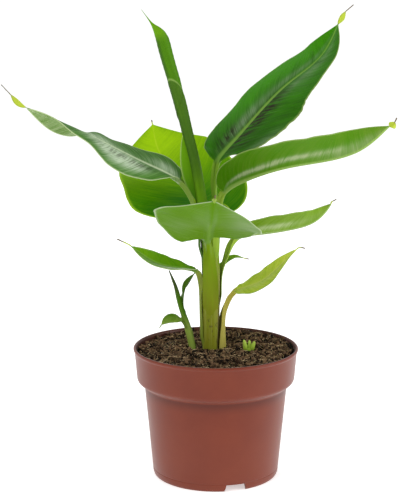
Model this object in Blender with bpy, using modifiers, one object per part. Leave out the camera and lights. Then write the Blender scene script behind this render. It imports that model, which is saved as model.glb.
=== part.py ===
# Young banana plant with patterned leaves in a round plastic nursery pot.
# Lengths in the tables are in millimetres and angles in degrees; the solids are in metres, Z up.
# The origin is the middle of the pot's base, X points to the right of the front view and Y away from it.
import bpy
import bmesh
import math
import numpy as np

MM = 0.001
COLLECTION = "potted_tropicana_banana_plant"

# Pot: outer side from the rim down, then the underside, then the inner side back up.
POT_STEPS = 52
POT_OUTER = [(59.4, 95.0), (60.0, 94.4), (60.0, 93.2), (59.2, 92.4), (57.5, 72.4), (57.0, 71.0),
             (55.9, 69.9), (52.7, 67.9), (52.1, 66.9), (51.9, 65.3), (46.0, 2.2), (45.5, 0.7), (44.9, 0.0)]
POT_UNDER = [(44.1, 0.0), (44.3, 5.0), (31.0, 5.0), (28.6, 0.0), (0.0, 0.0)]
POT_INNER = [(0.0, 1.5), (27.6, 1.5), (30.0, 6.5), (44.9, 6.5), (50.6, 66.0), (51.0, 67.5),
             (54.6, 70.8), (56.1, 72.6), (58.0, 92.6), (58.5, 95.0)]
NOTCH_WIDTH = 13.6
NOTCH_DEPTH = 6.0     # of the cutter, enough to pass through the foot ring
NOTCH_RADIUS = 45.0
NOTCH_HEIGHT = 5.0
NOTCH_ANGLES = (-72.0, 48.0, 168.0)

# Soil: the surface is a low mound with lumps, its underside follows the pot's floor.
SOIL_GAP = 0.35
SOIL_EDGE_PLAY = 0.2
SOIL_EDGE_Z = 91.2
SOIL_RISE = 1.6
SOIL_TILT = (0.02, 0.03)
SOIL_RINGS = 8
SOIL_SPOKES = 48
HOLES = [(-3.6, 4.0, 7.6), (3.6, 4.0, 5.4), (-16.6, 5.0, 2.9), (24.2, -5.0, 4.6)]
HOLE_FLOOR = 80.0

# Main stem of rolled leaf bases: centre x, centre y, height, radius.
STEM_PATH = [(-3.6, 4.0, 80.3, 6.0), (-3.6, 4.0, 93.0, 5.9), (-3.5, 4.0, 110.0, 6.3), (-3.3, 3.9, 135.0, 6.6),
             (-3.4, 3.7, 150.0, 6.7), (-4.2, 3.2, 168.0, 6.5), (-4.8, 2.6, 180.0, 6.3),
             (-5.0, 2.4, 188.0, 6.0)]
STEM_SIDES = 28
STEM_RINGS = 15
SHEATH_TOP = 133.6    # height of the front sheath's end
SHEATH_STEP = 1.25    # how far it stands out
SHEATH_HALF = 66      # half of the angle that it covers

# Rolled young leaf: centre path with radius.
SPEAR_PATH = [(-8.2, 2.2, 189.4, 4.3), (-11.0, 2.2, 205.0, 4.1), (-15.6, 2.0, 231.0, 3.9),
              (-19.9, 1.6, 249.0, 3.9), (-25.6, 1.2, 273.0, 4.5), (-31.0, 0.8, 292.0, 4.7),
              (-35.8, 0.5, 309.0, 4.9), (-38.0, 0.3, 317.0, 4.7), (-41.0, 0.2, 322.5, 3.4),
              (-44.6, 0.0, 327.0, 1.4), (-47.6, 0.0, 331.0, 0.7), (-50.3, 0.0, 334.6, 0.5),
              (-52.2, 0.0, 337.2, 0.45)]
SPEAR_SIDES = 18
SPEAR_RINGS = 26
SPEAR_STEP = 0.5
WING_PATH = [(-13.0, 0.8, 203.0), (-15.4, 0.6, 216.0), (-18.4, 0.6, 233.0), (-22.2, 0.8, 250.0)]
WING_WIDTH = 8.6

# Leaves. path: foot at the stem to the foot of the blade; mid: midrib of the blade; thread: dry point.
# wide/peak/fall: half width, place of the widest point and fullness of each half (left, right).
# fold and arch: angle of each half at the midrib and its added turn to the edge; roll: turn about the midrib.
LEAVES = {
    "leaf_top_right": dict(
        path=[(1.9, 5.0, 174), (1.5, 4.9, 188), (-0.9, 3.8, 206), (-0.6, 4.8, 219)],
        mid=[(1, 8, 229), (15, 21, 245), (50, 35, 281), (77, 35, 304), (88.5, 38, 326)],
        thread=[(91, 38, 332), (99.5, 38, 340)],
        wide=(34, 41), peak=(0.48, 0.45), fall=(2.6, 2.4), roll=(12, 8, 10, 20, 16),
        fold_l=(22, 10, 14, 10, 6), fold_r=(28, 12, 2, 12, 32), arch_l=(-25, -10), arch_r=(-18, -16),
        wave=(0.5, 5.0, 0.4), foot=(3.2, 0.9), hold=0.45, tip=2.2),
    "leaf_right": dict(
        path=[(0.5, -1.8, 170), (0.7, -2.4, 186), (2.8, -6.0, 201)],
        mid=[(6, -11, 211), (32, -31, 227), (59, -39, 234.5), (96, -49, 245), (114, -66, 263)],
        thread=[(116.6, -67.5, 265.2), (118.2, -68, 268.6)],
        wide=(23.5, 28), peak=(0.45, 0.42), fall=(2.0, 2.7), roll=(14, 8, 10), fold_l=(36, 36, 36),
        fold_r=(60, 58, 66), arch_l=(-16, -10), arch_r=(-16, -12), wave=(0.5, 6.0, 1.7),
        foot=(3.2, 0.9), hold=0.45, tip=2.2),
    "leaf_front": dict(
        path=[(-4.0, -3.6, 134), (-4.2, -3.7, 147), (-4.9, -5.0, 160), (-5.6, -11.2, 170)],
        mid=[(-6, -19, 176.5), (-5, -40, 190), (-4, -76, 202), (-2.4, -120, 221.5)],
        thread=[(-2.0, -124, 223.6), (-1.6, -127.5, 226.5)],
        wide=(35.5, 38.5), peak=(0.41, 0.54), fall=(2.1, 1.6), roll=(18, -4, 5), fold_l=(-18, 3, 0),
        fold_r=(4, 8, 14), arch_l=(-11, -33), arch_r=(0, -8), wave=(0.9, 4.0, 0.6), foot=(6.2, 1.1),
        hold=0.55, tip=1.4),
    "leaf_lower_right": dict(
        path=[(3.5, 5.9, 134), (4.2, 6.3, 150), (8.2, 8.4, 162)],
        mid=[(15, 12, 173), (34, 14, 177), (56, 20, 179), (75, 25, 185), (84.3, 23, 196.5)],
        thread=[(84.8, 21, 198.4), (88.0, 20, 200.4)],
        wide=(19.5, 19), peak=(0.42, 0.42), fall=(1.8, 2.4), roll=(6, 2, 2), fold_l=(26, 26, 26),
        fold_r=(60, 55, 70), arch_l=(-14, -16), arch_r=(-7, -13), wave=(0.25, 5.0, 2.2),
        foot=(3.0, 0.9), hold=0.5),
    "leaf_left": dict(
        path=[(-11.9, 2.4, 170), (-12.3, 2.3, 185), (-16.4, 0.6, 201)],
        mid=[(-26, -3, 217), (-48, 0, 229), (-81, -4, 246.5), (-109, -7, 260), (-133, -9, 270)],
        thread=[(-138.5, -9, 274), (-144, -9, 279.5), (-150, -9, 286)],
        wide=(18, 21), peak=(0.42, 0.35), fall=(1.6, 2.2), roll=(-10, -25, -30, -25, -10, 20, 35, 45),
        fold_l=(35, 0, -10, -15, -5, -25, -15, -5), fold_r=(30, 5, -10, -10, 0, -10, -20, -10),
        arch_l=(-12, -12), arch_r=(-8, -18), wave=(0.5, 5.0, 0.9), foot=(3.2, 0.9), hold=0.45, tip=2.2),
    "leaf_back": dict(
        path=[(-7.4, 9.6, 158), (-8.1, 10.2, 172), (-9.4, 11.4, 182)],
        mid=[(-11, 14.5, 190), (-20, 44, 203), (-35, 64, 219), (-45, 84, 233), (-48.3, 96, 247)],
        thread=[(-48.7, 97.0, 248.6), (-49.0, 97.8, 250.4)],
        wide=(47.5, 47), peak=(0.42, 0.38), fall=(1.7, 2.3), roll=(0, -9, -14), fold_l=(-8, 5, 5),
        fold_r=(-6, 18, 13), arch_l=(-20, -13), arch_r=(-17, -2), wave=(1.0, 5.0, 2.8),
        foot=(3.2, 0.9), hold=0.45),
    "leaf_left_small": dict(
        path=[(-10.7, 4.0, 104), (-10.8, 3.8, 122), (-11.0, 3.2, 139), (-12.2, 1.0, 147)],
        mid=[(-15, -2, 152), (-30, -10, 156), (-46, -14, 162), (-60, -14, 172)],
        thread=[(-63, -14.5, 174), (-70, -16, 177.6)],
        wide=(9.5, 9), peak=(0.45, 0.44), fall=(2.1, 2.1), roll=(-14, -32, -36), fold_l=(24, 30, 24),
        fold_r=(18, 22, 32), arch_l=(0, -12), arch_r=(-16, -8), wave=(0.35, 4.0, 0.5),
        foot=(4.6, 0.8), hold=0.7),
    "leaf_right_small": dict(
        path=[(3.7, 4.0, 80.3), (3.7, 4.0, 104), (5.1, 3.8, 119), (9.2, 0.5, 130)],
        mid=[(15, -6, 138), (30, -15, 146), (43, -19, 157), (56.5, -22, 171.5)],
        thread=[(58.5, -22.4, 172.8), (62.5, -24, 172.6)],
        wide=(11, 11), peak=(0.36, 0.36), fall=(1.9, 1.9), roll=(28, 26, 20), fold_l=(10, 15, 25),
        fold_r=(16, 8, 25), arch_l=(-12, -4), arch_r=(-20, -14), wave=(0.35, 4.0, 1.9),
        foot=(4.4, 4.4), hold=0.45),
    "leaf_back_small": dict(
        path=[(-1.4, 11.1, 121), (-1.1, 11.3, 138), (1.4, 12.4, 148)],
        mid=[(5.6, 14, 153), (9.5, 15.3, 156), (14.5, 17, 158), (20, 18, 157.4)],
        thread=[(21.5, 18.2, 157.0), (24.5, 18.5, 156.3)],
        wide=(4.2, 4.6), peak=(0.36, 0.36), fall=(1.8, 1.8), roll=(8, 10, 10), fold_l=(25, 20, 25),
        fold_r=(30, 25, 30), arch_l=(-10, -10), arch_r=(-10, -10), wave=(0.1, 3.0, 0.0),
        foot=(2.2, 0.8), hold=0.55),
}
COLUMNS = {"leaf_top_right": 5, "leaf_front": 5, "leaf_left": 5, "leaf_back": 5}
EDGE = 0.7            # thickness of a blade at its edge
TIP_KEEL = 1.0        # thickness of the dry point
TIP_HALF = 0.5        # half width of the dry point
KEEL = 2.3            # thickness at the midrib near the foot of the blade
KEEL_HALF = 2.4       # half width of the raised midrib
PETIOLE_HALF = 2.7    # half width of the channelled stalk under the blade
BLADE_STOPS = (0, .012, .04, .085, .14, .2, .27, .35, .43, .51, .59, .67, .75, .82, .88, .93, .967, 1)
SMALL_STOPS = (0, .03, .09, .18, .3, .45, .6, .75, .87, .95, 1)

# Side shoot: a short stem that ends in a dark rolled leaf, with two open leaves, and a cut shoot beside it.
SHOOT_STEM = [(-16.6, 5.0, 80.3, 2.5), (-16.8, 5.0, 92.0, 2.5), (-19.4, 5.4, 104.0, 2.6),
              (-22.6, 6.0, 115.0, 2.1), (-25.0, 6.2, 122.0, 1.8), (-27.2, 6.2, 130.0, 1.7),
              (-29.4, 6.1, 138.6, 1.3), (-33.9, 6.0, 150.2, 0.4)]
SHOOT_LEAVES = [
    dict(path=[(-22.4, 6.0, 114), (-24.0, 6.8, 121)],
         mid=[(-24.4, 7.4, 126), (-23.5, 9, 133.5), (-20.4, 10, 141), (-15.8, 10, 147)],
         thread=[(-14.6, 10, 148.6), (-13.4, 10, 150.6)],
         wide=(3.4, 3.4), peak=(0.45, 0.45), fall=(2.0, 2.0), roll=(-40, -50, -50), fold_l=(20, 20, 20),
         fold_r=(20, 20, 20), arch_l=(-10, -10), arch_r=(-10, -10), wave=(0.1, 3.0, 0.0),
         foot=(1.5, 1.2), hold=0.0),
    dict(path=[(-19.8, 5.2, 104), (-22.4, 4.4, 110)],
         mid=[(-25, 3.8, 113.5), (-30, 2, 116), (-35.5, 0, 115), (-39.5, -2, 111.5)],
         thread=[(-40.2, -2.3, 110.6), (-41, -2.6, 109.4)],
         wide=(4.2, 4.2), peak=(0.4, 0.4), fall=(1.9, 1.9), roll=(-35, -40, -40), fold_l=(5, 5, 5),
         fold_r=(5, 5, 5), arch_l=(-20, -20), arch_r=(-20, -20), wave=(0.1, 3.0, 1.0),
         foot=(1.5, 1.2), hold=0.0),
]
STUB_PRONGS = [
    [(24.2, -5.0, 80.3, 3.0), (24.2, -5.0, 90.0, 3.3), (24.1, -5.0, 93.4, 2.7), (24.0, -5.0, 95.0, 1.4)],
    [(22.8, -5.2, 86.0, 1.7), (21.8, -5.2, 94.0, 1.6), (20.7, -5.3, 99.4, 1.2), (20.3, -5.3, 101.0, 0.6)],
    [(24.4, -4.6, 86.0, 1.5), (24.5, -4.4, 94.0, 1.3), (24.4, -4.3, 99.2, 1.0), (24.3, -4.3, 100.4, 0.5)],
    [(25.5, -5.0, 86.0, 1.7), (26.4, -5.1, 94.0, 1.6), (27.6, -5.2, 98.4, 1.2), (28.2, -5.2, 99.8, 0.6)],
]

# Base colour (linear) and roughness of each piece.
COLOURS = {
    "pot": ((0.33, 0.115, 0.075), 0.45), "soil": ((0.045, 0.028, 0.017), 0.95),
    "pseudostem": ((0.33, 0.42, 0.13), 0.5), "spear_leaf": ((0.13, 0.26, 0.05), 0.45),
    "leaf_top_right": ((0.05, 0.20, 0.03), 0.4), "leaf_right": ((0.28, 0.42, 0.13), 0.5),
    "leaf_front": ((0.30, 0.42, 0.17), 0.5), "leaf_lower_right": ((0.26, 0.40, 0.15), 0.5),
    "leaf_left": ((0.12, 0.24, 0.09), 0.4), "leaf_back": ((0.20, 0.42, 0.02), 0.45),
    "leaf_left_small": ((0.10, 0.26, 0.04), 0.45), "leaf_right_small": ((0.30, 0.48, 0.09), 0.45),
    "leaf_back_small": ((0.14, 0.30, 0.05), 0.5), "side_shoot": ((0.13, 0.28, 0.06), 0.5),
    "cut_shoot": ((0.45, 0.60, 0.16), 0.5),
}


def spline(points, stops):
    """Natural cubic through the points, sampled at shares of its length; also the share of each point."""
    p = np.array(points, float)
    k = np.concatenate([[0], np.cumsum(np.sqrt(np.linalg.norm(np.diff(p[:, :3], axis=0), axis=1)))])
    h, n = np.diff(k), len(p)
    a, b = np.eye(n), np.zeros_like(p)
    for i in range(1, n - 1):
        a[i, i - 1:i + 2] = h[i - 1], 2 * (h[i - 1] + h[i]), h[i]
        b[i] = 6 * ((p[i + 1] - p[i]) / h[i] - (p[i] - p[i - 1]) / h[i - 1])
    m = np.linalg.solve(a, b)

    def at(t):
        i = np.clip(np.searchsorted(k, t, side="right") - 1, 0, n - 2)
        u, v, w = (t - k[i])[:, None], (k[i + 1] - t)[:, None], h[i][:, None]
        return ((m[i] * v ** 3 + m[i + 1] * u ** 3) / (6 * w) + (p[i] / w - m[i] * w / 6) * v
                + (p[i + 1] / w - m[i + 1] * w / 6) * u)

    fine = np.linspace(0, k[-1], 600)
    run = np.concatenate([[0], np.cumsum(np.linalg.norm(np.diff(at(fine)[:, :3], axis=0), axis=1))])
    share = np.interp(k, fine, run / run[-1])
    return at(np.interp(np.asarray(stops, float) * run[-1], run, fine)), share


def keys(values, u):
    """Smooth curve through evenly spaced values."""
    v = np.array(values, float)
    x = np.clip(u, 0, 1) * (len(v) - 1)
    i = np.minimum(x.astype(int), len(v) - 2)
    t = x - i
    s = np.gradient(v)
    return ((2 * t ** 3 - 3 * t ** 2 + 1) * v[i] + (t ** 3 - 2 * t ** 2 + t) * s[i]
            + (3 * t ** 2 - 2 * t ** 3) * v[i + 1] + (t ** 3 - t ** 2) * s[i + 1])


def outline(u, peak, fall):
    """Half width of a blade, 1 at its widest: a round shoulder at the foot, then a long fall to the tip."""
    rise = np.sqrt(np.clip(1 - (1 - np.clip(u / peak, 0, 1)) ** 2, 0, 1))
    drop = 1 - np.clip((u - peak) / (1 - peak), 0, 1) ** fall
    return np.where(u < peak, rise, drop)


def smooth(x):
    x = np.clip(x, 0, 1)
    return x * x * (3 - 2 * x)


def unit(v):
    return v / np.linalg.norm(v, axis=1)[:, None]


def stem_centre(z):
    s = np.array(STEM_PATH)
    return np.stack([np.interp(z, s[:, 2], s[:, 0]), np.interp(z, s[:, 2], s[:, 1])], 1)


def leaf_sections(leaf, columns, axis_at, blade_stops):
    """Closed rings of a leaf: upper face from left to right edge, then the lower face back."""
    points = leaf["path"] + leaf["mid"] + leaf["thread"]
    n_path, n_mid = len(leaf["path"]), len(leaf["mid"])
    share = spline(points, [0])[1]
    s0, s1 = share[n_path], share[n_path + n_mid - 1]
    stops = np.concatenate([np.linspace(0, s0, 2 * n_path)[:-1], s0 + (s1 - s0) * np.array(blade_stops),
                            np.linspace(s1, 1, 7)[1:]])
    mid = spline(points, stops)[0]
    q = np.clip(stops / s0, 0, 1)
    u = np.clip((stops - s0) / (s1 - s0), 0, 1)
    tangent = unit(np.gradient(mid, axis=0))
    inward = np.zeros_like(mid)
    inward[:, :2] = axis_at(mid[:, 2]) - mid[:, :2]
    blend = smooth(q)[:, None]
    ref = unit(inward + 1e-9) * (1 - blend) + np.array([[0, 0, 1.0]]) * blend
    normal = unit(ref - np.sum(ref * tangent, axis=1)[:, None] * tangent)
    side = np.cross(tangent, normal)
    roll = np.radians(keys(leaf["roll"], u) * smooth(q))[:, None]
    normal, side = normal * np.cos(roll) + side * np.sin(roll), side * np.cos(roll) - normal * np.sin(roll)
    foot_half, foot_thick = leaf["foot"]
    petiole = min(PETIOLE_HALF, 0.6 * min(leaf["wide"]))
    stalk = foot_half + (petiole - foot_half) * smooth(q)
    radius = np.linalg.norm(inward[:, :2], axis=1)
    free = smooth((q - leaf["hold"]) / (1 - leaf["hold"]))
    hug = np.degrees(stalk / np.maximum(radius, 3.0)) * (1 - free) * (leaf["hold"] > 0)
    scale = min(1.0, min(leaf["wide"]) / 18 + 0.25)
    thick = foot_thick + (KEEL * scale - foot_thick) * smooth(q)
    keel = thick * (1 - u) ** 0.7 + TIP_KEEL * (1 - (1 - u) ** 0.7)
    open_up = smooth(u / 0.07)
    dry = np.clip((stops - s1) / (1 - s1), 0, 1)
    swell = leaf.get("tip", 0.0) * np.sin(math.pi * np.clip(dry * 1.7, 0, 1)) ** 1.5
    taper = 2.0 - 0.9 * (1 - smooth(q)) * (foot_thick > 3)
    halves = []
    for i, (tag, sign) in enumerate((("l", -1), ("r", 1))):
        w = leaf["wide"][i] * outline(u, leaf["peak"][i], leaf["fall"][i])
        w = np.maximum(w * (stops >= s0), stalk * (1 - u) ** 1.5 + (TIP_HALF + swell) * (1 - (1 - u) ** 1.5))
        f = keys(leaf["fold_" + tag], u) * open_up + 34 * free * (1 - open_up)
        k = keys(leaf["arch_" + tag], u) * open_up + hug + 12 * free * (1 - open_up)
        f, k = np.radians(f), np.radians(np.where(abs(k) < 0.1, 0.1, k))
        first = np.minimum(KEEL_HALF * scale / w, 0.5)
        cols = []
        for c in range(columns):
            v = np.zeros_like(w) if c == 0 else first + (1 - first) * (c - 1) / (columns - 2)
            a = w * (np.sin(f + k * v) - np.sin(f)) / k
            b = w * (np.cos(f) - np.cos(f + k * v)) / k
            amp, count, phase = leaf["wave"]
            b = b + amp * np.sin(2 * math.pi * count * u + phase + i * 1.9) * v ** 2 * smooth(u * 6) * (1 - u)
            n = -sign * np.sin(f + k * v)[:, None] * side + np.cos(f + k * v)[:, None] * normal
            t = EDGE + (keel - EDGE) * (1 - np.clip(v / (2 * first), 0, 1)) ** taper
            if c == 0:
                n, t = normal, keel
            top = mid + sign * a[:, None] * side + b[:, None] * normal
            cols.append((top, top - n * t[:, None]))
        halves.append(cols)
    left, right = halves
    top = [c[0] for c in left[::-1]] + [c[0] for c in right[1:]]
    low = [c[1] for c in left[::-1]] + [c[1] for c in right[1:]]
    rings = np.stack(top + low[::-1], axis=1)
    return rings, len(top)


def loft(name, rings, alike=0):
    """Closed body from rings of equal count. With alike set, both faces are split along the same diagonal."""
    count, sides = rings.shape[:2]
    verts = [tuple(v * MM) for v in rings.reshape(-1, 3)]
    faces = []
    for i in range(count - 1):
        for j in range(sides):
            k = (j + 1) % sides
            a, b, c, d = i * sides + j, i * sides + k, (i + 1) * sides + k, (i + 1) * sides + j
            if alike and j >= alike:
                faces += [(a, b, d), (b, c, d)]
            else:
                faces += [(a, b, c), (a, c, d)]
    if alike:
        for i, flip in ((0, True), (count - 1, False)):
            for j in range(alike - 1):
                a, b = i * sides + j, i * sides + j + 1
                c, d = i * sides + sides - 2 - j, i * sides + sides - 1 - j
                quad = [(a, b, c), (a, c, d)]
                faces += [tuple(reversed(f)) for f in quad] if flip else quad
    else:
        for i, flip in ((0, True), (count - 1, False)):
            verts.append(tuple(rings[i].mean(axis=0) * MM))
            for j in range(sides):
                f = (i * sides + j, i * sides + (j + 1) % sides, len(verts) - 1)
                faces.append(tuple(reversed(f)) if flip else f)
    mesh = bpy.data.meshes.new(name)
    mesh.from_pydata(verts, [], faces)
    bm = bmesh.new()
    bm.from_mesh(mesh)
    bmesh.ops.recalc_face_normals(bm, faces=bm.faces)
    bm.to_mesh(mesh)
    bm.free()
    return bpy.data.objects.new(name, mesh)


def tube(name, path, sides, count, shape=None):
    """Round body along a path of (x, y, z, radius); shape may change the radius by angle and share."""
    stops = np.linspace(0, 1, count)
    p = spline(path, stops)[0]
    mid, radius = p[:, :3], p[:, 3]
    tangent = unit(np.gradient(mid, axis=0))
    front = np.array([[0, -1.0, 0]]) - tangent * (-tangent[:, 1:2])
    front = unit(front)
    right = np.cross(front, tangent)
    angle = np.linspace(0, 2 * math.pi, sides, endpoint=False)
    r = radius[:, None] * np.ones(sides)[None]
    if shape:
        r = r + shape(np.degrees(angle)[None], stops[:, None])
    rings = mid[:, None] + r[..., None] * (np.cos(angle)[None, :, None] * front[:, None]
                                           + np.sin(angle)[None, :, None] * right[:, None])
    return loft(name, rings)


def material(name):
    colour, rough = COLOURS[name]
    mat = bpy.data.materials.get(name)
    if mat is None:
        mat = bpy.data.materials.new(name)
        mat.use_nodes = True
        shader = mat.node_tree.nodes["Principled BSDF"]
        shader.inputs["Base Color"].default_value = (*colour, 1)
        shader.inputs["Roughness"].default_value = rough
    return mat


def finish(obj, flat_angle=None):
    """Link a part to the plant's collection, give it its material and shade it smooth."""
    if obj.name not in plant.objects:
        plant.objects.link(obj)
    obj.data.materials.clear()
    obj.data.materials.append(material(obj.name))
    for p in obj.data.polygons:
        p.use_smooth = True
    if flat_angle:
        obj.data.set_sharp_from_angle(angle=math.radians(flat_angle))
    return obj


def apply_modifiers(obj):
    graph = bpy.context.evaluated_depsgraph_get()
    mesh = bpy.data.meshes.new_from_object(obj.evaluated_get(graph))
    obj.modifiers.clear()
    obj.data = mesh


def combine(obj, others, operation):
    """Boolean of an object with others; the others go to the cutters' collection."""
    for other in others:
        if other.name not in cutters.objects:
            cutters.objects.link(other)
        other.hide_render = True
        other.display_type = "WIRE"
        mod = obj.modifiers.new(operation.lower(), "BOOLEAN")
        mod.operation = operation
        mod.solver = "EXACT"
        mod.object = other
    bpy.context.view_layer.update()
    apply_modifiers(obj)


def round_stalk(name, path, count):
    """Tapered round stalk: a curve with a bevel, its radius given point by point, made into a mesh."""
    p = spline(path, np.linspace(0, 1, count))[0]
    curve = bpy.data.curves.new(name, "CURVE")
    curve.dimensions = "3D"
    curve.bevel_depth = MM
    curve.bevel_resolution = 3
    curve.use_fill_caps = True
    line = curve.splines.new("POLY")
    line.points.add(count - 1)
    for point, (x, y, z, r) in zip(line.points, p):
        point.co = (x * MM, y * MM, z * MM, 1)
        point.radius = r
    guide = bpy.data.objects.new(name + "_guide", curve)
    plant.objects.link(guide)
    bpy.context.view_layer.update()
    mesh = bpy.data.meshes.new_from_object(guide.evaluated_get(bpy.context.evaluated_depsgraph_get()))
    bm = bmesh.new()
    bm.from_mesh(mesh)
    bmesh.ops.remove_doubles(bm, verts=bm.verts, dist=0.00002)
    bmesh.ops.recalc_face_normals(bm, faces=bm.faces)
    bm.to_mesh(mesh)
    bm.free()
    bpy.data.objects.remove(guide, do_unlink=True)
    return bpy.data.objects.new(name, mesh)


def cylinder(name, x, y, z0, z1, r, sides=32):
    bpy.ops.mesh.primitive_cylinder_add(vertices=sides, radius=r * MM, depth=(z1 - z0) * MM,
                                        location=(x * MM, y * MM, (z0 + z1) / 2 * MM))
    obj = bpy.context.object
    obj.name = name
    return loosen(obj)


def loosen(obj):
    """Take an object out of every collection, so that it can be linked where it belongs."""
    for c in obj.users_collection:
        c.objects.unlink(obj)
    return obj


def make_pot():
    """Turned wall with collar, raised ring under the floor and drain notches through the foot."""
    profile = POT_OUTER + POT_UNDER + POT_INNER
    mesh = bpy.data.meshes.new("pot")
    mesh.from_pydata([(x * MM, 0, z * MM) for x, z in profile], [(i, i + 1) for i in range(len(profile) - 1)]
                     + [(len(profile) - 1, 0)], [])
    obj = bpy.data.objects.new("pot", mesh)
    plant.objects.link(obj)
    turn = obj.modifiers.new("turn", "SCREW")
    turn.axis = "Z"
    turn.angle = 2 * math.pi
    turn.steps = POT_STEPS
    turn.render_steps = POT_STEPS
    turn.use_merge_vertices = True
    turn.merge_threshold = 0.00005
    turn.use_normal_calculate = True
    bpy.context.view_layer.update()
    apply_modifiers(obj)
    bm = bmesh.new()
    bm.from_mesh(obj.data)
    bmesh.ops.remove_doubles(bm, verts=bm.verts, dist=0.00005)
    bmesh.ops.dissolve_degenerate(bm, edges=bm.edges, dist=0.00001)
    bmesh.ops.recalc_face_normals(bm, faces=bm.faces)
    bm.to_mesh(obj.data)
    bm.free()
    blocks = []
    for i, a in enumerate(NOTCH_ANGLES):
        bpy.ops.mesh.primitive_cube_add(size=1)
        block = bpy.context.object
        block.name = f"notch_cutter_{i}"
        turn = math.radians(a)
        block.scale = (NOTCH_DEPTH * MM, NOTCH_WIDTH * MM, NOTCH_HEIGHT * 2 * MM)
        block.rotation_euler = (0, 0, turn)
        block.location = (NOTCH_RADIUS * MM * math.cos(turn), NOTCH_RADIUS * MM * math.sin(turn), 0)
        bpy.ops.object.transform_apply(location=True, rotation=True, scale=True)
        blocks.append(loosen(block))
    combine(obj, blocks, "DIFFERENCE")
    return finish(obj, 35)


def pot_inner_radius(z):
    inner = np.array(POT_INNER[2:])
    return np.interp(z, inner[:, 1], inner[:, 0])


def soil_height(x, y):
    """Surface of the potting soil: a low mound with rolling lumps."""
    r = np.hypot(x, y)
    lumps = (0.7 * np.sin(0.19 * x + 0.8) * np.cos(0.23 * y - 0.4) + 0.5 * np.sin(0.41 * x - 0.33 * y + 2.0)
             + 0.35 * np.cos(0.62 * y + 0.21 * x))
    tilt = SOIL_TILT[0] * x + SOIL_TILT[1] * y
    return SOIL_EDGE_Z + SOIL_RISE * (1 - (r / 58) ** 2) + tilt + lumps * smooth((r + 4) / 14)


def make_soil():
    """Body that fills the pot, raised on top and with plain holes for the stems."""
    low = [(r - SOIL_GAP, z + SOIL_GAP) for r, z in POT_INNER[1:-2]]
    angle = np.linspace(0, 2 * math.pi, SOIL_SPOKES, endpoint=False)
    c, s = np.cos(angle), np.sin(angle)
    rings = [np.stack([r * c, r * s, np.full_like(c, z)], 1) for r, z in low]
    edge = pot_inner_radius(SOIL_EDGE_Z) - SOIL_GAP - SOIL_EDGE_PLAY
    for r in np.linspace(edge, edge / SOIL_RINGS, SOIL_RINGS):
        rings.append(np.stack([r * c, r * s, soil_height(r * c, r * s)], 1))
    obj = loft("soil", np.stack(rings))
    plant.objects.link(obj)
    holes = [cylinder(f"hole_cutter_{i}", x, y, HOLE_FLOOR, 110, r) for i, (x, y, r) in enumerate(HOLES)]
    combine(obj, holes, "DIFFERENCE")
    return finish(obj, 50)


def stem_relief(degrees, share):
    """Overlapping leaf bases: the front sheath with a V top and a step at each side."""
    foot, top = STEM_PATH[0][2], STEM_PATH[-1][2]
    z = foot + share * (top - foot)
    away = np.abs((degrees + 183) % 360 - 180)
    front = smooth((SHEATH_HALF - away) / 13 + 0.5) * smooth((SHEATH_TOP - z) / 3)
    back = 0.2 * np.cos(np.radians(3 * degrees + 40 + 60 * share))
    return SHEATH_STEP * front + back * (1 - front) - 0.15


def make_stem():
    obj = tube("pseudostem", STEM_PATH, STEM_SIDES, STEM_RINGS, stem_relief)
    return finish(obj, 60)


def spear_relief(degrees, share):
    """Spiral step where the outer edge of the rolled blade shows."""
    turn = 270 - 360 * smooth((share - 0.30) / 0.36)
    step = ((turn - degrees) % 360) / 360
    return SPEAR_STEP * (step - 0.5) * smooth(share * 12) * (1 - smooth((share - 0.86) / 0.06))


def make_spear():
    obj = tube("spear_leaf", SPEAR_PATH, SPEAR_SIDES, SPEAR_RINGS, spear_relief)
    stops = np.linspace(0, 1, 12)
    mid = spline(WING_PATH, stops)[0]
    reach = WING_WIDTH * np.sin(math.pi * np.clip(stops * 0.92 + 0.04, 0, 1)) ** 0.8
    rings = []
    for m, w in zip(mid, reach):
        v = np.linspace(0, 1, 4)[:, None]
        line = m + np.array([[2.0, 0.8, 0.6]]) * (1 - v) + v * np.array([[-0.86, -0.42, -0.28]]) * w
        thick = np.array([0.16, -0.33, 0.0])
        thick = thick / np.linalg.norm(thick) * 0.4
        rings.append(np.concatenate([line + thick, (line - thick)[::-1]]))
    wing = loft("wing_cutter", np.stack(rings), alike=4)
    plant.objects.link(obj)
    combine(obj, [wing], "UNION")
    return finish(obj, 50)


def make_leaf(name):
    stops = SMALL_STOPS if "small" in name else BLADE_STOPS
    rings, top = leaf_sections(LEAVES[name], COLUMNS.get(name, 4), stem_centre, stops)
    return finish(loft(name, rings, alike=top))


def make_shoot():
    """Side shoot: rolled middle leaf with two open leaves joined to it."""
    obj = round_stalk("side_shoot", SHOOT_STEM, 14)
    plant.objects.link(obj)
    others = []
    for i, leaf in enumerate(SHOOT_LEAVES):
        axis = np.array(SHOOT_STEM)

        def at(z):
            return np.stack([np.interp(z, axis[:, 2], axis[:, 0]) + (0.5, 2.0)[i],
                             np.interp(z, axis[:, 2], axis[:, 1])], 1)
        rings, top = leaf_sections(leaf, 4, at, SMALL_STOPS)
        others.append(loft(f"shoot_leaf_cutter_{i}", rings, alike=top))
    combine(obj, others, "UNION")
    return finish(obj, 60)


def make_stub():
    """Cut shoot: a short base with three torn prongs."""
    base, *prongs = [round_stalk(f"stub_cutter_{i}", p, 6) for i, p in enumerate(STUB_PRONGS)]
    base.name = "cut_shoot"
    plant.objects.link(base)
    combine(base, prongs, "UNION")
    return finish(base, 60)


for old in list(bpy.data.objects):
    bpy.data.objects.remove(old, do_unlink=True)
scene = bpy.context.scene
plant = bpy.data.collections.new(COLLECTION)
cutters = bpy.data.collections.new("cutters")
scene.collection.children.link(plant)
scene.collection.children.link(cutters)

make_pot()
make_soil()
make_stem()
make_spear()
for leaf_name in LEAVES:
    make_leaf(leaf_name)
make_shoot()
make_stub()
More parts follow.
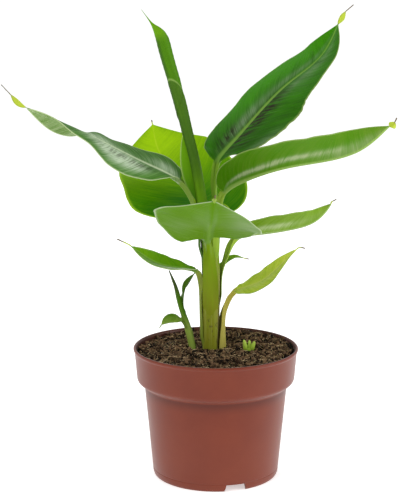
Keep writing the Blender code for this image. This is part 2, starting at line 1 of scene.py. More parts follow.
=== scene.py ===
# %% [markdown]
# # A young banana plant in a nursery pot
#
# The solid model of the plant is already made and packed: a pot, its soil, the main stem, a rolled new
# leaf, nine open leaves, a side shoot and the stub of a cut one. This lesson dresses it. Every solid is
# replaced by a finer surface that follows the same midribs, widths and profiles, and then gets a material
# whose pattern follows the leaf: lateral veins, a pale midrib, a thin pale margin and dark markings.
#
# Lengths in the tables are in millimetres and angles in degrees. Z is up, X points to the right of the
# photographed front and Y away from the viewer, and the origin is the middle of the pot's base.

# %% Load the fixed model
import math

import bmesh
import bpy
import numpy as np
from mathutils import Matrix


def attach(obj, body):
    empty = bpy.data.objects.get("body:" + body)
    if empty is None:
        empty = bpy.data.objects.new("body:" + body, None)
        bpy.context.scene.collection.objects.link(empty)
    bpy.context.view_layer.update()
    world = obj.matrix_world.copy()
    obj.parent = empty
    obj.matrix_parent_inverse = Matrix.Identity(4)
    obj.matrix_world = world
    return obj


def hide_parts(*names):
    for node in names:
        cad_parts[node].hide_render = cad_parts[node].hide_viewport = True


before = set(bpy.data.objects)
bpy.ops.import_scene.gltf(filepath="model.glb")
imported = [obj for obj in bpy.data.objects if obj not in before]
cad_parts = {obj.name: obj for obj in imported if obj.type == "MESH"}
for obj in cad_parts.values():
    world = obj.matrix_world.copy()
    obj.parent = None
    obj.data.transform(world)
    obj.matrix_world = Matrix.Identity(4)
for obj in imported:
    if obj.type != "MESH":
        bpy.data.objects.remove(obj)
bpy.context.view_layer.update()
MM = 0.001
print("nodes:", ", ".join(sorted(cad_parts)))

# %% [markdown]
# ## Curves and noise to build with
#
# A leaf's midrib is a smooth line through a few points. A natural cubic does that without overshoot when
# its parameter grows with the square root of the distance between points. Everything here works on whole
# arrays: a surface is a function of two parameters that is evaluated on a grid in one go. Irregular detail
# comes from value noise, a smooth blend between fixed random numbers on a lattice, so that it is the same
# each time.

# %% Smooth line through points
def gaps(points):
    """Distances between neighbouring points."""
    return np.linalg.norm(np.diff(points, axis=0), axis=1)


def running(steps):
    """Running total of the steps, from 0."""
    return np.concatenate([[0], np.cumsum(steps)])


def spline(points, stops):
    """Natural cubic through the points, read at shares of its length; also the share of each point."""
    p = np.array(points, float)
    k = running(np.sqrt(gaps(p[:, :3])))
    h, n = np.diff(k), len(p)
    a, b = np.eye(n), np.zeros_like(p)
    for i in range(1, n - 1):
        a[i, i - 1:i + 2] = h[i - 1], 2 * (h[i - 1] + h[i]), h[i]
        b[i] = 6 * ((p[i + 1] - p[i]) / h[i] - (p[i] - p[i - 1]) / h[i - 1])
    m = np.linalg.solve(a, b)

    def at(t):
        i = np.clip(np.searchsorted(k, t, side="right") - 1, 0, n - 2)
        u, v, w = (t - k[i])[:, None], (k[i + 1] - t)[:, None], h[i][:, None]
        return ((m[i] * v ** 3 + m[i + 1] * u ** 3) / (6 * w) + (p[i] / w - m[i] * w / 6) * v
                + (p[i + 1] / w - m[i + 1] * w / 6) * u)

    fine = np.linspace(0, k[-1], 1200)
    run = running(gaps(at(fine)[:, :3]))
    share = np.interp(k, fine, run / run[-1])
    return at(np.interp(np.asarray(stops, float) * run[-1], run, fine)), share


def keys(values, u):
    """Smooth curve through evenly spaced values: cubic Hermite with the slope of the neighbours."""
    v = np.array(values, float)
    x = np.clip(u, 0, 1) * (len(v) - 1)
    i = np.minimum(x.astype(int), len(v) - 2)
    t, s = x - i, np.gradient(v)
    return ((2 * t ** 3 - 3 * t ** 2 + 1) * v[i] + (t ** 3 - 2 * t ** 2 + t) * s[i]
            + (3 * t ** 2 - 2 * t ** 3) * v[i + 1] + (t ** 3 - t ** 2) * s[i + 1])


def smooth(x):
    """Rises from 0 to 1 as x does, with level ends: 3 x squared minus 2 x cubed."""
    x = np.clip(x, 0, 1)
    return x * x * (3 - 2 * x)


def window(x, low, high, soft):
    """1 between low and high, 0 outside, with soft shoulders."""
    return smooth((x - low) / soft + 0.5) * smooth((high - x) / soft + 0.5)


def unit(v):
    """Vectors divided by their lengths."""
    return v / np.linalg.norm(v, axis=-1, keepdims=True)


LATTICE = np.random.default_rng(7).random((64, 64, 16)) * 2 - 1


def noise(x, y=0.0, z=0.0, octaves=3):
    """Value noise from -1 to 1: lattice numbers blended smoothly, in ever finer and lower octaves."""
    x, y, z = np.broadcast_arrays(np.asarray(x, float), y, z)
    total, height, scale = np.zeros(x.shape), 1.0, 1.0
    for _ in range(octaves):
        cell = [np.floor(c * scale).astype(int) for c in (x, y, z)]
        part = [smooth(c * scale - i) for c, i in zip((x, y, z), cell)]
        layer = np.zeros(x.shape)
        for dx in (0, 1):
            for dy in (0, 1):
                for dz in (0, 1):
                    corner = LATTICE[(cell[0] + dx) % 64, (cell[1] + dy) % 64, (cell[2] + dz) % 16]
                    weight = ((part[0] if dx else 1 - part[0]) * (part[1] if dy else 1 - part[1])
                              * (part[2] if dz else 1 - part[2]))
                    layer += corner * weight
        total += layer * height
        height, scale = height / 2, scale * 2
    return total / (2 - 2.0 ** (1 - octaves))


print("noise at three places:", noise(np.array([0.3, 1.7, 9.2])).round(3))

# %% [markdown]
# ## From grids to meshes
#
# A closed grid is a stack of rings with the same number of points. Its faces come from index arithmetic:
# point j of ring i meets point j + 1 and the two above them. Extra numbers for each point, such as how far
# along the leaf it lies, go into the mesh as named attributes, which the materials read later.

# %% Mesh helpers
def ring_faces(rings, sides):
    """Faces between neighbouring rings, each closed on itself, as rows of four point numbers."""
    i, j = np.meshgrid(np.arange(rings - 1), np.arange(sides), indexing="ij")
    k = (j + 1) % sides
    low, high = i * sides, (i + 1) * sides
    return np.stack([low + j, low + k, high + k, high + j], -1).reshape(-1, 4)


def fan(start, sides, centre):
    """Triangles from each side of the ring that begins at point start to a centre point."""
    return [(start + j, start + (j + 1) % sides, centre) for j in range(sides)]


def strip(start, end, count):
    """Faces across a flat end, where points from start upwards meet points from end downwards."""
    return [(start + j, start + j + 1, end - 1 - j, end - j) for j in range(count)]


def put(name, points, faces, layers=None):
    """New mesh object from points in millimetres, with its faces turned outwards and shaded smooth."""
    mesh = bpy.data.meshes.new(name)
    mesh.from_pydata((points.reshape(-1, 3) * MM).tolist(), [], faces)
    for key, values in (layers or {}).items():
        layer = mesh.attributes.new(key, "FLOAT_VECTOR", "POINT")
        layer.data.foreach_set("vector", values.reshape(-1, 3).astype(np.float32).ravel())
    bm = bmesh.new()
    bm.from_mesh(mesh)
    bmesh.ops.recalc_face_normals(bm, faces=bm.faces)
    bm.to_mesh(mesh)
    bm.free()
    mesh.shade_smooth()
    obj = bpy.data.objects.new(name, mesh)
    bpy.context.scene.collection.objects.link(obj)
    return obj


def dress(obj, material, node=None):
    """Give a piece its material, let it ride on the plant and stand for a solid."""
    obj.data.materials.clear()
    obj.data.materials.append(material)
    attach(obj, "root")
    if node:
        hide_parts(node)
    print(f"{obj.name}: {sum(len(f.vertices) - 2 for f in obj.data.polygons)} triangles")
    return obj

# %% [markdown]
# ## The leaves
#
# A banana leaf leaves the stem as a sheath that wraps around it, becomes a channelled stalk and then a
# blade with a strong midrib, and ends in a dry point. Each leaf is one strip of cross-sections along its
# midrib. Every half has its own width, fold at the midrib and arch to the margin, and the section rolls
# about the midrib on the way. The table below holds the same driving values as the solid model.
#
# The line of a leaf is its path up the stem and stalk, the midrib and the dry thread. Then come the widest
# half width of the left and the right half, where along the blade that is, and how steeply each half falls
# to the tip. Roll, fold and arch are angles at even steps along the blade. A wave is a height, a number of
# waves and a phase, and a foot is a half width and a thickness. Hold is the share of the stalk that hugs the
# stem, tip the half width of the swelling, tuck how far the foot goes on below, and ragged how uneven each
# margin is.
#
# The values of the eight larger leaves were fitted to their outlines in the photograph by a separate program
# and rounded. The stem, the rolled leaf, the small leaf behind, the side shoot and the stub stand on points
# that were read off the photograph, given a depth by eye, and turned into millimetres by such a program too.
# The widths and angles of the small leaf behind and of the side shoot's leaves were given.

# %% Stem and leaves in numbers
STEM_PATH = [(-3.6, 4.0, 80.3, 6.0), (-3.6, 4.0, 93.0, 5.9), (-3.5, 4.0, 110.0, 6.3), (-3.3, 3.9, 135.0, 6.6),
             (-3.4, 3.7, 150.0, 6.7), (-4.2, 3.2, 168.0, 6.5), (-4.8, 2.6, 180.0, 6.3),
             (-5.0, 2.4, 188.0, 6.0)]
LEAVES = {
    "leaf_top_right": dict(
        path=[(1.9, 5.0, 174), (1.5, 4.9, 188), (-0.9, 3.8, 206), (-0.6, 4.8, 219)],
        mid=[(1, 8, 229), (15, 21, 245), (50, 35, 281), (77, 35, 304), (88.5, 38, 326)],
        thread=[(91, 38, 332), (99.5, 38, 340)],
        wide=(34, 41), peak=(0.48, 0.45), fall=(2.6, 2.4), roll=(12, 8, 10, 20, 16),
        fold_l=(22, 10, 14, 10, 6), fold_r=(28, 12, 2, 12, 32), arch_l=(-25, -10), arch_r=(-18, -16),
        wave=(0.5, 5.0, 0.4), foot=(3.2, 0.9), hold=0.45, tip=2.2, ragged=(0.005, 0.026)),
    "leaf_right": dict(
        path=[(0.5, -1.8, 170), (0.7, -2.4, 186), (2.8, -6.0, 201)],
        mid=[(6, -11, 211), (32, -31, 227), (59, -39, 234.5), (96, -49, 245), (114, -66, 263)],
        thread=[(116.6, -67.5, 265.2), (118.2, -68, 268.6)],
        wide=(23.5, 28), peak=(0.45, 0.42), fall=(2.0, 2.7), roll=(14, 8, 10), fold_l=(36, 36, 36),
        fold_r=(60, 58, 66), arch_l=(-16, -10), arch_r=(-16, -12), wave=(0.5, 6.0, 1.7),
        foot=(3.2, 0.9), hold=0.45, tip=2.2),
    "leaf_front": dict(
        path=[(-4.0, -3.6, 134), (-4.2, -3.7, 147), (-4.9, -5.0, 160), (-5.6, -11.2, 170)],
        mid=[(-6, -19, 176.5), (-5, -40, 190), (-4, -76, 202), (-2.4, -120, 221.5)],
        thread=[(-2.0, -124, 223.6), (-1.6, -127.5, 226.5)],
        wide=(35.5, 38.5), peak=(0.41, 0.54), fall=(2.1, 1.6), roll=(18, -4, 5), fold_l=(-18, 3, 0),
        fold_r=(4, 8, 14), arch_l=(-11, -33), arch_r=(0, -8), wave=(0.9, 4.0, 0.6), foot=(6.2, 1.1),
        hold=0.55, tip=1.4, tuck=24.0),
    "leaf_lower_right": dict(
        path=[(3.5, 5.9, 134), (4.2, 6.3, 150), (8.2, 8.4, 162)],
        mid=[(15, 12, 173), (34, 14, 177), (56, 20, 179), (75, 25, 185), (84.3, 23, 196.5)],
        thread=[(84.8, 21, 198.4), (88.0, 20, 200.4)],
        wide=(19.5, 19), peak=(0.42, 0.42), fall=(1.8, 2.4), roll=(6, 2, 2), fold_l=(26, 26, 26),
        fold_r=(60, 55, 70), arch_l=(-14, -16), arch_r=(-7, -13), wave=(0.25, 5.0, 2.2),
        foot=(3.0, 0.9), hold=0.5),
    "leaf_left": dict(
        path=[(-11.9, 2.4, 170), (-12.3, 2.3, 185), (-16.4, 0.6, 201)],
        mid=[(-26, -3, 217), (-48, 0, 229), (-81, -4, 246.5), (-109, -7, 260), (-133, -9, 270)],
        thread=[(-138.5, -9, 274), (-144, -9, 279.5), (-150, -9, 286)],
        wide=(18, 21), peak=(0.42, 0.35), fall=(1.6, 2.2), roll=(-10, -25, -30, -25, -10, 20, 35, 45),
        fold_l=(35, 0, -10, -15, -5, -25, -15, -5), fold_r=(30, 5, -10, -10, 0, -10, -20, -10),
        arch_l=(-12, -12), arch_r=(-8, -18), wave=(0.5, 5.0, 0.9), foot=(3.2, 0.9), hold=0.45, tip=2.2),
    "leaf_back": dict(
        path=[(-7.4, 9.6, 158), (-8.1, 10.2, 172), (-9.4, 11.4, 182)],
        mid=[(-11, 14.5, 190), (-20, 44, 203), (-35, 64, 219), (-45, 84, 233), (-48.3, 96, 247)],
        thread=[(-48.7, 97.0, 248.6), (-49.0, 97.8, 250.4)],
        wide=(47.5, 47), peak=(0.42, 0.38), fall=(1.7, 2.3), roll=(0, -9, -14), fold_l=(-8, 5, 5),
        fold_r=(-6, 18, 13), arch_l=(-20, -13), arch_r=(-17, -2), wave=(0.3, 5.0, 2.8),
        foot=(3.2, 0.9), hold=0.45),
    "leaf_left_small": dict(
        path=[(-10.7, 4.0, 104), (-10.8, 3.8, 122), (-11.0, 3.2, 139), (-12.2, 1.0, 147)],
        mid=[(-15, -2, 152), (-30, -10, 156), (-46, -14, 162), (-60, -14, 172)],
        thread=[(-63, -14.5, 174), (-70, -16, 177.6)],
        wide=(9.5, 9), peak=(0.45, 0.44), fall=(2.1, 2.1), roll=(-14, -32, -36), fold_l=(24, 30, 24),
        fold_r=(18, 22, 32), arch_l=(0, -12), arch_r=(-16, -8), wave=(0.35, 4.0, 0.5),
        foot=(4.6, 0.8), hold=0.7),
    "leaf_right_small": dict(
        path=[(3.7, 4.0, 80.3), (3.7, 4.0, 104), (5.1, 3.8, 119), (9.2, 0.5, 130)],
        mid=[(15, -6, 138), (30, -15, 146), (43, -19, 157), (56.5, -22, 171.5)],
        thread=[(58.5, -22.4, 172.8), (62.5, -24, 172.6)],
        wide=(11, 11), peak=(0.36, 0.36), fall=(1.9, 1.9), roll=(28, 26, 20), fold_l=(10, 15, 25),
        fold_r=(16, 8, 25), arch_l=(-12, -4), arch_r=(-20, -14), wave=(0.35, 4.0, 1.9),
        foot=(4.4, 4.4), hold=0.45),
    "leaf_back_small": dict(
        path=[(-1.4, 11.1, 121), (-1.1, 11.3, 138), (1.4, 12.4, 148)],
        mid=[(5.6, 14, 153), (9.5, 15.3, 156), (14.5, 17, 158), (20, 18, 157.4)],
        thread=[(21.5, 18.2, 157.0), (24.5, 18.5, 156.3)],
        wide=(4.2, 4.6), peak=(0.36, 0.36), fall=(1.8, 1.8), roll=(8, 10, 10), fold_l=(25, 20, 25),
        fold_r=(30, 25, 30), arch_l=(-10, -10), arch_r=(-10, -10), wave=(0.1, 3.0, 0.0),
        foot=(2.2, 0.8), hold=0.55),
}
SHOOT_STEM = [(-16.6, 5.0, 80.3, 2.5), (-16.8, 5.0, 92.0, 2.5), (-19.4, 5.4, 104.0, 2.6),
              (-22.6, 6.0, 115.0, 2.1), (-25.0, 6.2, 122.0, 1.8), (-27.2, 6.2, 130.0, 1.7),
              (-29.4, 6.1, 138.6, 1.3), (-33.9, 6.0, 150.2, 0.4)]
SHOOT_LEAVES = [
    dict(path=[(-22.4, 6.0, 114), (-24.0, 6.8, 121)],
         mid=[(-24.4, 7.4, 126), (-23.5, 9, 133.5), (-20.4, 10, 141), (-15.8, 10, 147)],
         thread=[(-14.6, 10, 148.6), (-13.4, 10, 150.6)],
         wide=(3.4, 3.4), peak=(0.45, 0.45), fall=(2.0, 2.0), roll=(-40, -50, -50), fold_l=(20, 20, 20),
         fold_r=(20, 20, 20), arch_l=(-10, -10), arch_r=(-10, -10), wave=(0.1, 3.0, 0.0),
         foot=(1.5, 1.2), hold=0.0),
    dict(path=[(-19.8, 5.2, 104), (-22.4, 4.4, 110)],
         mid=[(-25, 3.8, 113.5), (-30, 2, 116), (-35.5, 0, 115), (-39.5, -2, 111.5)],
         thread=[(-40.2, -2.3, 110.6), (-41, -2.6, 109.4)],
         wide=(4.2, 4.2), peak=(0.4, 0.4), fall=(1.9, 1.9), roll=(-35, -40, -40), fold_l=(5, 5, 5),
         fold_r=(5, 5, 5), arch_l=(-20, -20), arch_r=(-20, -20), wave=(0.1, 3.0, 1.0),
         foot=(1.5, 1.2), hold=0.0),
]
BLADE_EDGE = 0.5      # thickness at the margin, a little finer than the solid's
KEEL = 2.3            # thickness at the midrib where the blade starts
KEEL_HALF = 2.4       # half width of the raised midrib
PETIOLE_HALF = 2.7    # half width of the stalk under the blade
TIP_KEEL = 0.6        # thickness of the dry point
TIP_HALF = 0.3        # half width of the dry point
TIP_ROUND = 1.3       # thickness of the swelling before it, for each millimetre of its half width
RIB_SHARE = 0.22      # share of the columns that lie on the midrib
CHANNEL = 0.45        # depth of the groove over the midrib
PLEAT = 0.13          # height of the low pleats between lateral veins
PLEAT_STEP = 4.2      # distance between pleats
TUCK_LENGTH = 13.0    # how far a leaf's foot goes on under the surface of the stem
TUCK_ABOVE = 100.0    # a leaf that starts lower stands in the soil and needs none
VEIN_SLANT = 0.55     # how far a lateral vein runs forward for each millimetre outwards
VEIN_BEND = 0.25      # how far it has bent forward at the margin, as a share of the half width
RAGGED = 0.006        # unevenness of a margin that has no own value
STALK_FOLD = 34       # fold of a stalk that is free of the stem
STALK_ARCH = 12       # arch of such a stalk
SIDE_PHASE = 1.9      # how far the waves of the right margin lag behind those of the left one
SMALL_WAVE = 0.35     # height of the uneven waves near a margin
ROW_EASE = 1.3        # power that crowds the rings towards the start of the blade

# %% [markdown]
# A blade is drawn in two numbers: how far along the midrib a point lies, and how far out to the margin.
# The outline is a round shoulder up to the widest point and then a long fall to the tip. Lateral veins
# leave the midrib at an angle and bend forward near the margin, so each point also gets a vein number: its
# distance along the midrib less the way the vein has run forward. Points with the same number lie on the
# same vein, and pleats, stripes and markings all follow it.

# %% Cross-sections of a leaf
def outline(u, peak, fall):
    """Half width of a blade, 1 at its widest: a quarter ellipse up to the peak, then a falling power."""
    rise = np.sqrt(np.clip(1 - (1 - np.clip(u / peak, 0, 1)) ** 2, 0, 1))
    drop = 1 - np.clip((u - peak) / (1 - peak), 0, 1) ** fall
    return np.where(u < peak, rise, drop)


def stem_centre(z):
    """Middle of the main stem at given heights."""
    s = np.array(STEM_PATH)
    return np.stack([np.interp(z, s[:, 2], s[:, 0]), np.interp(z, s[:, 2], s[:, 1])], 1)


def tucked(foot, thick, length):
    """Midrib points under a leaf's foot, going down the stem and into it, so that no end shows."""
    down = np.linspace(length, 0, 16)[:-1]
    z = foot[2] - down
    centre = stem_centre(z)
    out = foot[:2] - stem_centre(foot[2:3])[0]
    reach = np.linalg.norm(out)
    sink = np.maximum(reach + thick - np.interp(z, *np.array(STEM_PATH)[:, 2:].T) + 0.3, 0)
    return np.column_stack([centre + out / reach * (reach - sink * smooth(down / length))[:, None], z])


def half_section(leaf, side_sign, tag, u, q, columns, frame_axes, extra):
    """Upper and lower points of one half, as columns from the midrib to the margin.

    The half width follows the outline. In the section plane a half is an arc: its angle at the midrib is
    the fold, and the arch is added evenly to the margin. The lower face lies a thickness below."""
    mid, side, normal = frame_axes
    stalk, swell, free, hug, keel, scale, run, seed = extra
    i = 0 if tag == "l" else 1
    open_up = smooth(u / 0.07)
    w = leaf["wide"][i] * outline(u, leaf["peak"][i], leaf["fall"][i])
    uneven = leaf.get("ragged", (RAGGED, RAGGED))[i]
    ragged = 1 + uneven * noise(run / 3.5, 3.3 * i + seed, octaves=2) * smooth(u * 8)
    w = np.maximum(w * ragged * (q >= 1), stalk * (1 - u) ** 1.5 + (TIP_HALF + swell) * (1 - (1 - u) ** 1.5))
    f = keys(leaf["fold_" + tag], u) * open_up + STALK_FOLD * free * (1 - open_up)
    k = keys(leaf["arch_" + tag], u) * open_up + hug + STALK_ARCH * free * (1 - open_up)
    f, k = np.radians(f)[:, None], np.radians(np.where(abs(k) < 0.1, 0.1, k))[:, None]
    first = np.minimum(KEEL_HALF * scale / w, 0.5)[:, None]
    t = np.linspace(0, 1, columns)[None, :]
    inner = np.maximum(RIB_SHARE, 2 * first)
    v = np.where(t < inner, 2 * first * t / inner,
                 2 * first + (1 - 2 * first) * np.clip((t - inner) / np.maximum(1 - inner, 1e-9), 0, 1))
    w = w[:, None]
    lean = f + k * v
    a = w * (np.sin(lean) - np.sin(f)) / k
    b = w * (np.cos(f) - np.cos(lean)) / k
    amp, count, phase = leaf["wave"]
    blade = (smooth(u * 6) * (1 - u))[:, None]
    b = b + amp * np.sin(2 * math.pi * count * u + phase + i * SIDE_PHASE)[:, None] * v ** 2 * blade
    b = b + SMALL_WAVE * scale * noise(run[:, None] / 9.0, 2 * i + 0 * v, seed, octaves=2) * v ** 3 * blade
    vein = run[:, None] - VEIN_SLANT * v * w - VEIN_BEND * w * v ** 3
    pleat = PLEAT * scale * (np.sin(2 * math.pi * vein / PLEAT_STEP + 2.5 * noise(vein / 14, i + seed))
                             * smooth(v * 3 - first * 3) * (1 - v ** 4) * smooth(u * 10)[:, None])
    n = -side_sign * np.sin(lean)[..., None] * side[:, None] + np.cos(lean)[..., None] * normal[:, None]
    n[:, 0] = normal
    thick_stalk = (smooth(1 - q) * (leaf["foot"][1] > 3))[:, None]
    x = np.clip(v / (2 * first), 0, 1)
    rib = (1 - x) ** 2 * (1 - thick_stalk) + np.sqrt(np.clip(1 - x ** 1.6, 0, 1)) * thick_stalk
    rib = np.where(thick_stalk > 0, rib, np.cos(math.pi / 2 * x) ** 2)
    edge = BLADE_EDGE * np.minimum(1, 0.55 + 0.45 * scale)
    thick = edge + (keel[:, None] - edge) * rib
    top = mid[:, None] + side_sign * a[..., None] * side[:, None] + (b + pleat)[..., None] * normal[:, None]
    low = top - n * thick[..., None]
    groove = CHANNEL * scale * np.clip(1 - (v / np.maximum(first, 1e-6)) ** 2, 0, 1) ** 2
    top = top - n * (groove * (smooth(q * 3) * (1 - u) ** 0.6)[:, None])[..., None]
    rim = (top[:, -1:] + low[:, -1:]) / 2 + unit(top[:, -1:] - top[:, -2:-1]) * 0.5 * edge
    return top, low, rim, v, vein, w[:, 0]


def around_ring(left, right):
    """Values of both halves in the order of a ring: upper face, right rim, lower face, left rim."""
    upper = [left[:, ::-1], right[:, 1:], right[:, -1:]]
    return np.concatenate(upper + [right[:, ::-1], left[:, 1:], left[:, -1:]], axis=1)


def leaf_grid(leaf, rows, columns, axis_at, seed):
    """All rings of a leaf, each from the left margin over the upper face and back under the lower face.

    Also returns, for each point, the place on the leaf: along, across (left below 0), and the vein number."""
    points = leaf["path"] + leaf["mid"] + leaf["thread"]
    n_path, n_mid = len(leaf["path"]), len(leaf["mid"])
    share = spline(points, [0])[1]
    s0, s1 = share[n_path], share[n_path + n_mid - 1]
    stalk_rows, thread_rows = max(10, rows // 6), max(12, rows // 10)
    blade = s0 + (s1 - s0) * np.linspace(0, 1, rows) ** ROW_EASE
    stops = np.concatenate([np.linspace(0, s0, stalk_rows)[:-1], blade, np.linspace(s1, 1, thread_rows)[1:]])
    mid = spline(points, stops)[0]
    foot_half, foot_thick = leaf["foot"]
    if leaf["hold"] > 0 and mid[0, 2] > TUCK_ABOVE:
        mid = np.concatenate([tucked(mid[0], foot_thick, leaf.get("tuck", TUCK_LENGTH)), mid])
        stops = np.concatenate([np.zeros(len(mid) - len(stops)), stops])
    run = running(gaps(mid))
    q = np.clip(stops / s0, 0, 1)
    u = np.clip((stops - s0) / (s1 - s0), 0, 1)
    tangent = unit(np.gradient(mid, run, axis=0))
    inward = np.zeros_like(mid)
    inward[:, :2] = axis_at(mid[:, 2]) - mid[:, :2]
    blend = smooth(q)[:, None]
    ref = unit(inward + 1e-9) * (1 - blend) + np.array([[0, 0, 1.0]]) * blend
    normal = unit(ref - np.sum(ref * tangent, axis=1)[:, None] * tangent)
    side = np.cross(tangent, normal)
    roll = np.radians(keys(leaf["roll"], u) * smooth(q))[:, None]
    normal, side = normal * np.cos(roll) + side * np.sin(roll), side * np.cos(roll) - normal * np.sin(roll)
    petiole = min(PETIOLE_HALF, 0.6 * min(leaf["wide"]))
    stalk = foot_half + (petiole - foot_half) * smooth(q)
    radius = np.linalg.norm(inward[:, :2], axis=1)
    free = smooth((q - leaf["hold"]) / (1 - leaf["hold"]))
    hug = np.degrees(stalk / np.maximum(radius, 3.0)) * (1 - free) * (leaf["hold"] > 0)
    scale = min(1.0, min(leaf["wide"]) / 18 + 0.25)
    thick = foot_thick + (KEEL * scale - foot_thick) * smooth(q)
    keel = thick * (1 - u) ** 0.7 + TIP_KEEL * (1 - (1 - u) ** 0.7)
    dry = np.clip((stops - s1) / (1 - s1), 0, 1)
    swell = leaf.get("tip", 0.0) * np.sin(math.pi * np.clip(dry * 1.7, 0, 1))
    keel = keel + TIP_ROUND * swell
    extra = (stalk, swell, free, hug, keel, scale, run, seed)
    halves = [half_section(leaf, sign, tag, u, q, columns, (mid, side, normal), extra)
              for tag, sign in (("l", -1), ("r", 1))]
    (ltop, llow, lrim, lv, lvein, lw), (rtop, rlow, rrim, rv, rvein, rw) = halves
    ring = np.concatenate([ltop[:, ::-1], rtop[:, 1:], rrim, rlow[:, ::-1], llow[:, 1:], lrim], axis=1)
    along = np.where(stops < s0, q - 1, u + dry)[:, None]
    across, vein = around_ring(-lv, rv), around_ring(lvein, rvein)
    under = np.concatenate([np.zeros(2 * columns - 1), [0.5], np.ones(2 * columns - 1), [0.5]])
    width = np.where(across < 0, lw[:, None], rw[:, None])
    return dict(ring=ring, along=along + 0 * across, across=across, vein=vein, under=under + 0 * across,
                out=np.abs(across) * width, width=width)


print("a blade at a tenth, a half and nine tenths:", outline(np.array([0.1, 0.5, 0.9]), 0.46, 2.4).round(2))

# %% [markdown]
# The light green, silvery and dark places of a blade are laid down as soft spots on those two numbers. The
# silvery places are painted sheen, a highlight laid into the colour. The light green places are partly the
# leaf's own green and partly painted light, such as the glow of the leaf at the back where the lamp behind
# shines through it. Each spot has a place, a reach along and across, and an amount. One table row is one spot
# on the face that it names. The margin and the midrib are masks too: the first by the distance to the edge,
# the second by the distance to the middle, both in millimetres, and both thinner towards the tip.

# %% Painting masks of the leaves
def spots(rows, u, v):
    """Sum of soft spots: amount times e to the minus squared distance in reaches."""
    total = np.zeros(u.shape)
    for u0, v0, ru, rv, amount in rows:
        total += amount * np.exp(-((u - u0) / ru) ** 2 - ((v - v0) / rv) ** 2)
    return total


def leaf_layers(grid, paint):
    """Attribute values of every point.

    Place is along, across and the vein number, and tone is bright, painted sheen and mark. The painted sheen
    is a highlight laid into the colour. Parts are the midrib, the margin and the underside, and more is the
    distance from the midrib, the dry point and the stalk."""
    u, v, out, width = grid["along"], grid["across"], grid["out"], grid["width"]
    under = grid["under"]
    face = np.where(paint.get("face", "upper") == "under", under, 1 - under)
    tone = [paint.get(key, (0, ()))[0] * (face if key == "mark" else 1)
            + spots(paint.get(key, (0, ()))[1], u, v) * face for key in ("bright", "painted_sheen", "mark")]
    rib_half = paint.get("rib", 1.5) * (1 - 0.75 * np.clip(u, 0, 1)) + 0.1
    rib = 1 - smooth((out - rib_half * 0.5) / rib_half)
    rib = rib * (1 - smooth((u - paint.get("rib_end", 1.2)) / 0.3))
    edge = paint.get("edge", 0.6)
    margin = 1 - smooth((width - out - 0.4 * edge) / edge)
    margin = margin * smooth(u * 25) * (width > 1.2)
    dry = np.clip(u - 1, 0, 1)
    place = np.stack([u, v, grid["vein"]], -1)
    return {"place": place, "tone": np.stack(tone, -1), "parts": np.stack([rib, margin, under], -1),
            "more": np.stack([out, dry, smooth((0.02 - u) / 0.05)], -1)}


def leaf_shell(leaf, rows, columns, axis_at, seed, paint):
    """Closed leaf as points, faces and layers: rings, plus a strip of faces at the foot and at the tip."""
    grid = leaf_grid(leaf, rows, columns, axis_at, seed)
    ring = grid["ring"]
    rings, sides = ring.shape[:2]
    faces = ring_faces(rings, sides).tolist()
    last = 2 * columns - 2
    for start in (0, (rings - 1) * sides):
        end = start + sides - 2
        faces += strip(start, end, last)
        faces += [(start, end, end + 1), (start + last, start + last + 1, start + last + 2)]
    return ring.reshape(-1, 3), faces, {k: a.reshape(-1, 3) for k, a in leaf_layers(grid, paint).items()}


def joined(shells):
    """Several shells as one set of points, faces and layers."""
    points, faces, start = [], [], 0
    for p, f, _ in shells:
        faces += [tuple(i + start for i in face) for face in f]
        points.append(p)
        start += len(p)
    layers = {key: np.concatenate([s[2][key] for s in shells]) for key in shells[0][2]}
    return np.concatenate(points), faces, layers


# %% [markdown]
# ## Stem, rolled leaf and shoots
#
# The main stem is no trunk but leaf bases rolled around each other. Its surface is a tube around a gently
# leaning line whose radius changes with the angle: the front sheath stands out by about half a millimetre
# and ends below the leaves, and fine fibres run upwards. The new leaf is a blade that is still rolled up.
# The outer edge of the roll winds once around it as a small step.

# %% Tubes with relief
def tube_shell(path, sides, count, shape, tone):
    """Tube along (x, y, z, radius) points. The radius changes by shape(degrees, share, height).

    Tone gives four masks for the finish: pale, dark, line and fresh. The last one shows a colour that each
    material chooses, such as the fresh green of the rolled leaf or the dark brown line and specks of the
    stem."""
    stops = np.linspace(0, 1, count)
    p = spline(path, stops)[0]
    mid, radius = p[:, :3], p[:, 3]
    tangent = unit(np.gradient(mid, axis=0))
    front = unit(np.array([[0, -1.0, 0]]) + tangent * tangent[:, 1:2])
    right = np.cross(front, tangent)
    angle = np.linspace(0, 2 * math.pi, sides, endpoint=False)
    degrees, share, z = np.degrees(angle)[None], stops[:, None], mid[:, 2:3]
    r = radius[:, None] + (shape(degrees, share, z) if shape else 0 * degrees)
    ring = mid[:, None] + r[..., None] * (np.cos(angle)[None, :, None] * front[:, None]
                                          + np.sin(angle)[None, :, None] * right[:, None])
    degrees, share, z = np.broadcast_arrays(degrees, share, z)
    faces = ring_faces(count, sides).tolist()
    points = np.concatenate([ring.reshape(-1, 3), mid[:1], mid[-1:]])
    low, high = count * sides, count * sides + 1
    for centre, start in ((low, 0), (high, (count - 1) * sides)):
        faces += fan(start, sides, centre)
    pale, dark, line, fresh = tone(degrees, share, z)
    around = np.radians(degrees) * radius.mean()
    layers = {"place": np.stack([around, fresh, z], -1), "tone": np.stack([pale, dark, line], -1)}
    layers = {k: np.concatenate([a.reshape(-1, 3), a[0, :1], a[-1, :1]]) for k, a in layers.items()}
    return points, faces, layers


SHEATH_TOP = 133.6
SHEATH_STEP = 0.6     # how far the front sheath stands out
SHEATH_HALF = 66      # degrees from its middle to each side
SHEATH_MIDDLE = -3    # degrees from the front to its middle


def off_sheath(degrees):
    """Degrees from the middle of the front sheath, to either side."""
    return np.abs((degrees - SHEATH_MIDDLE + 180) % 360 - 180)


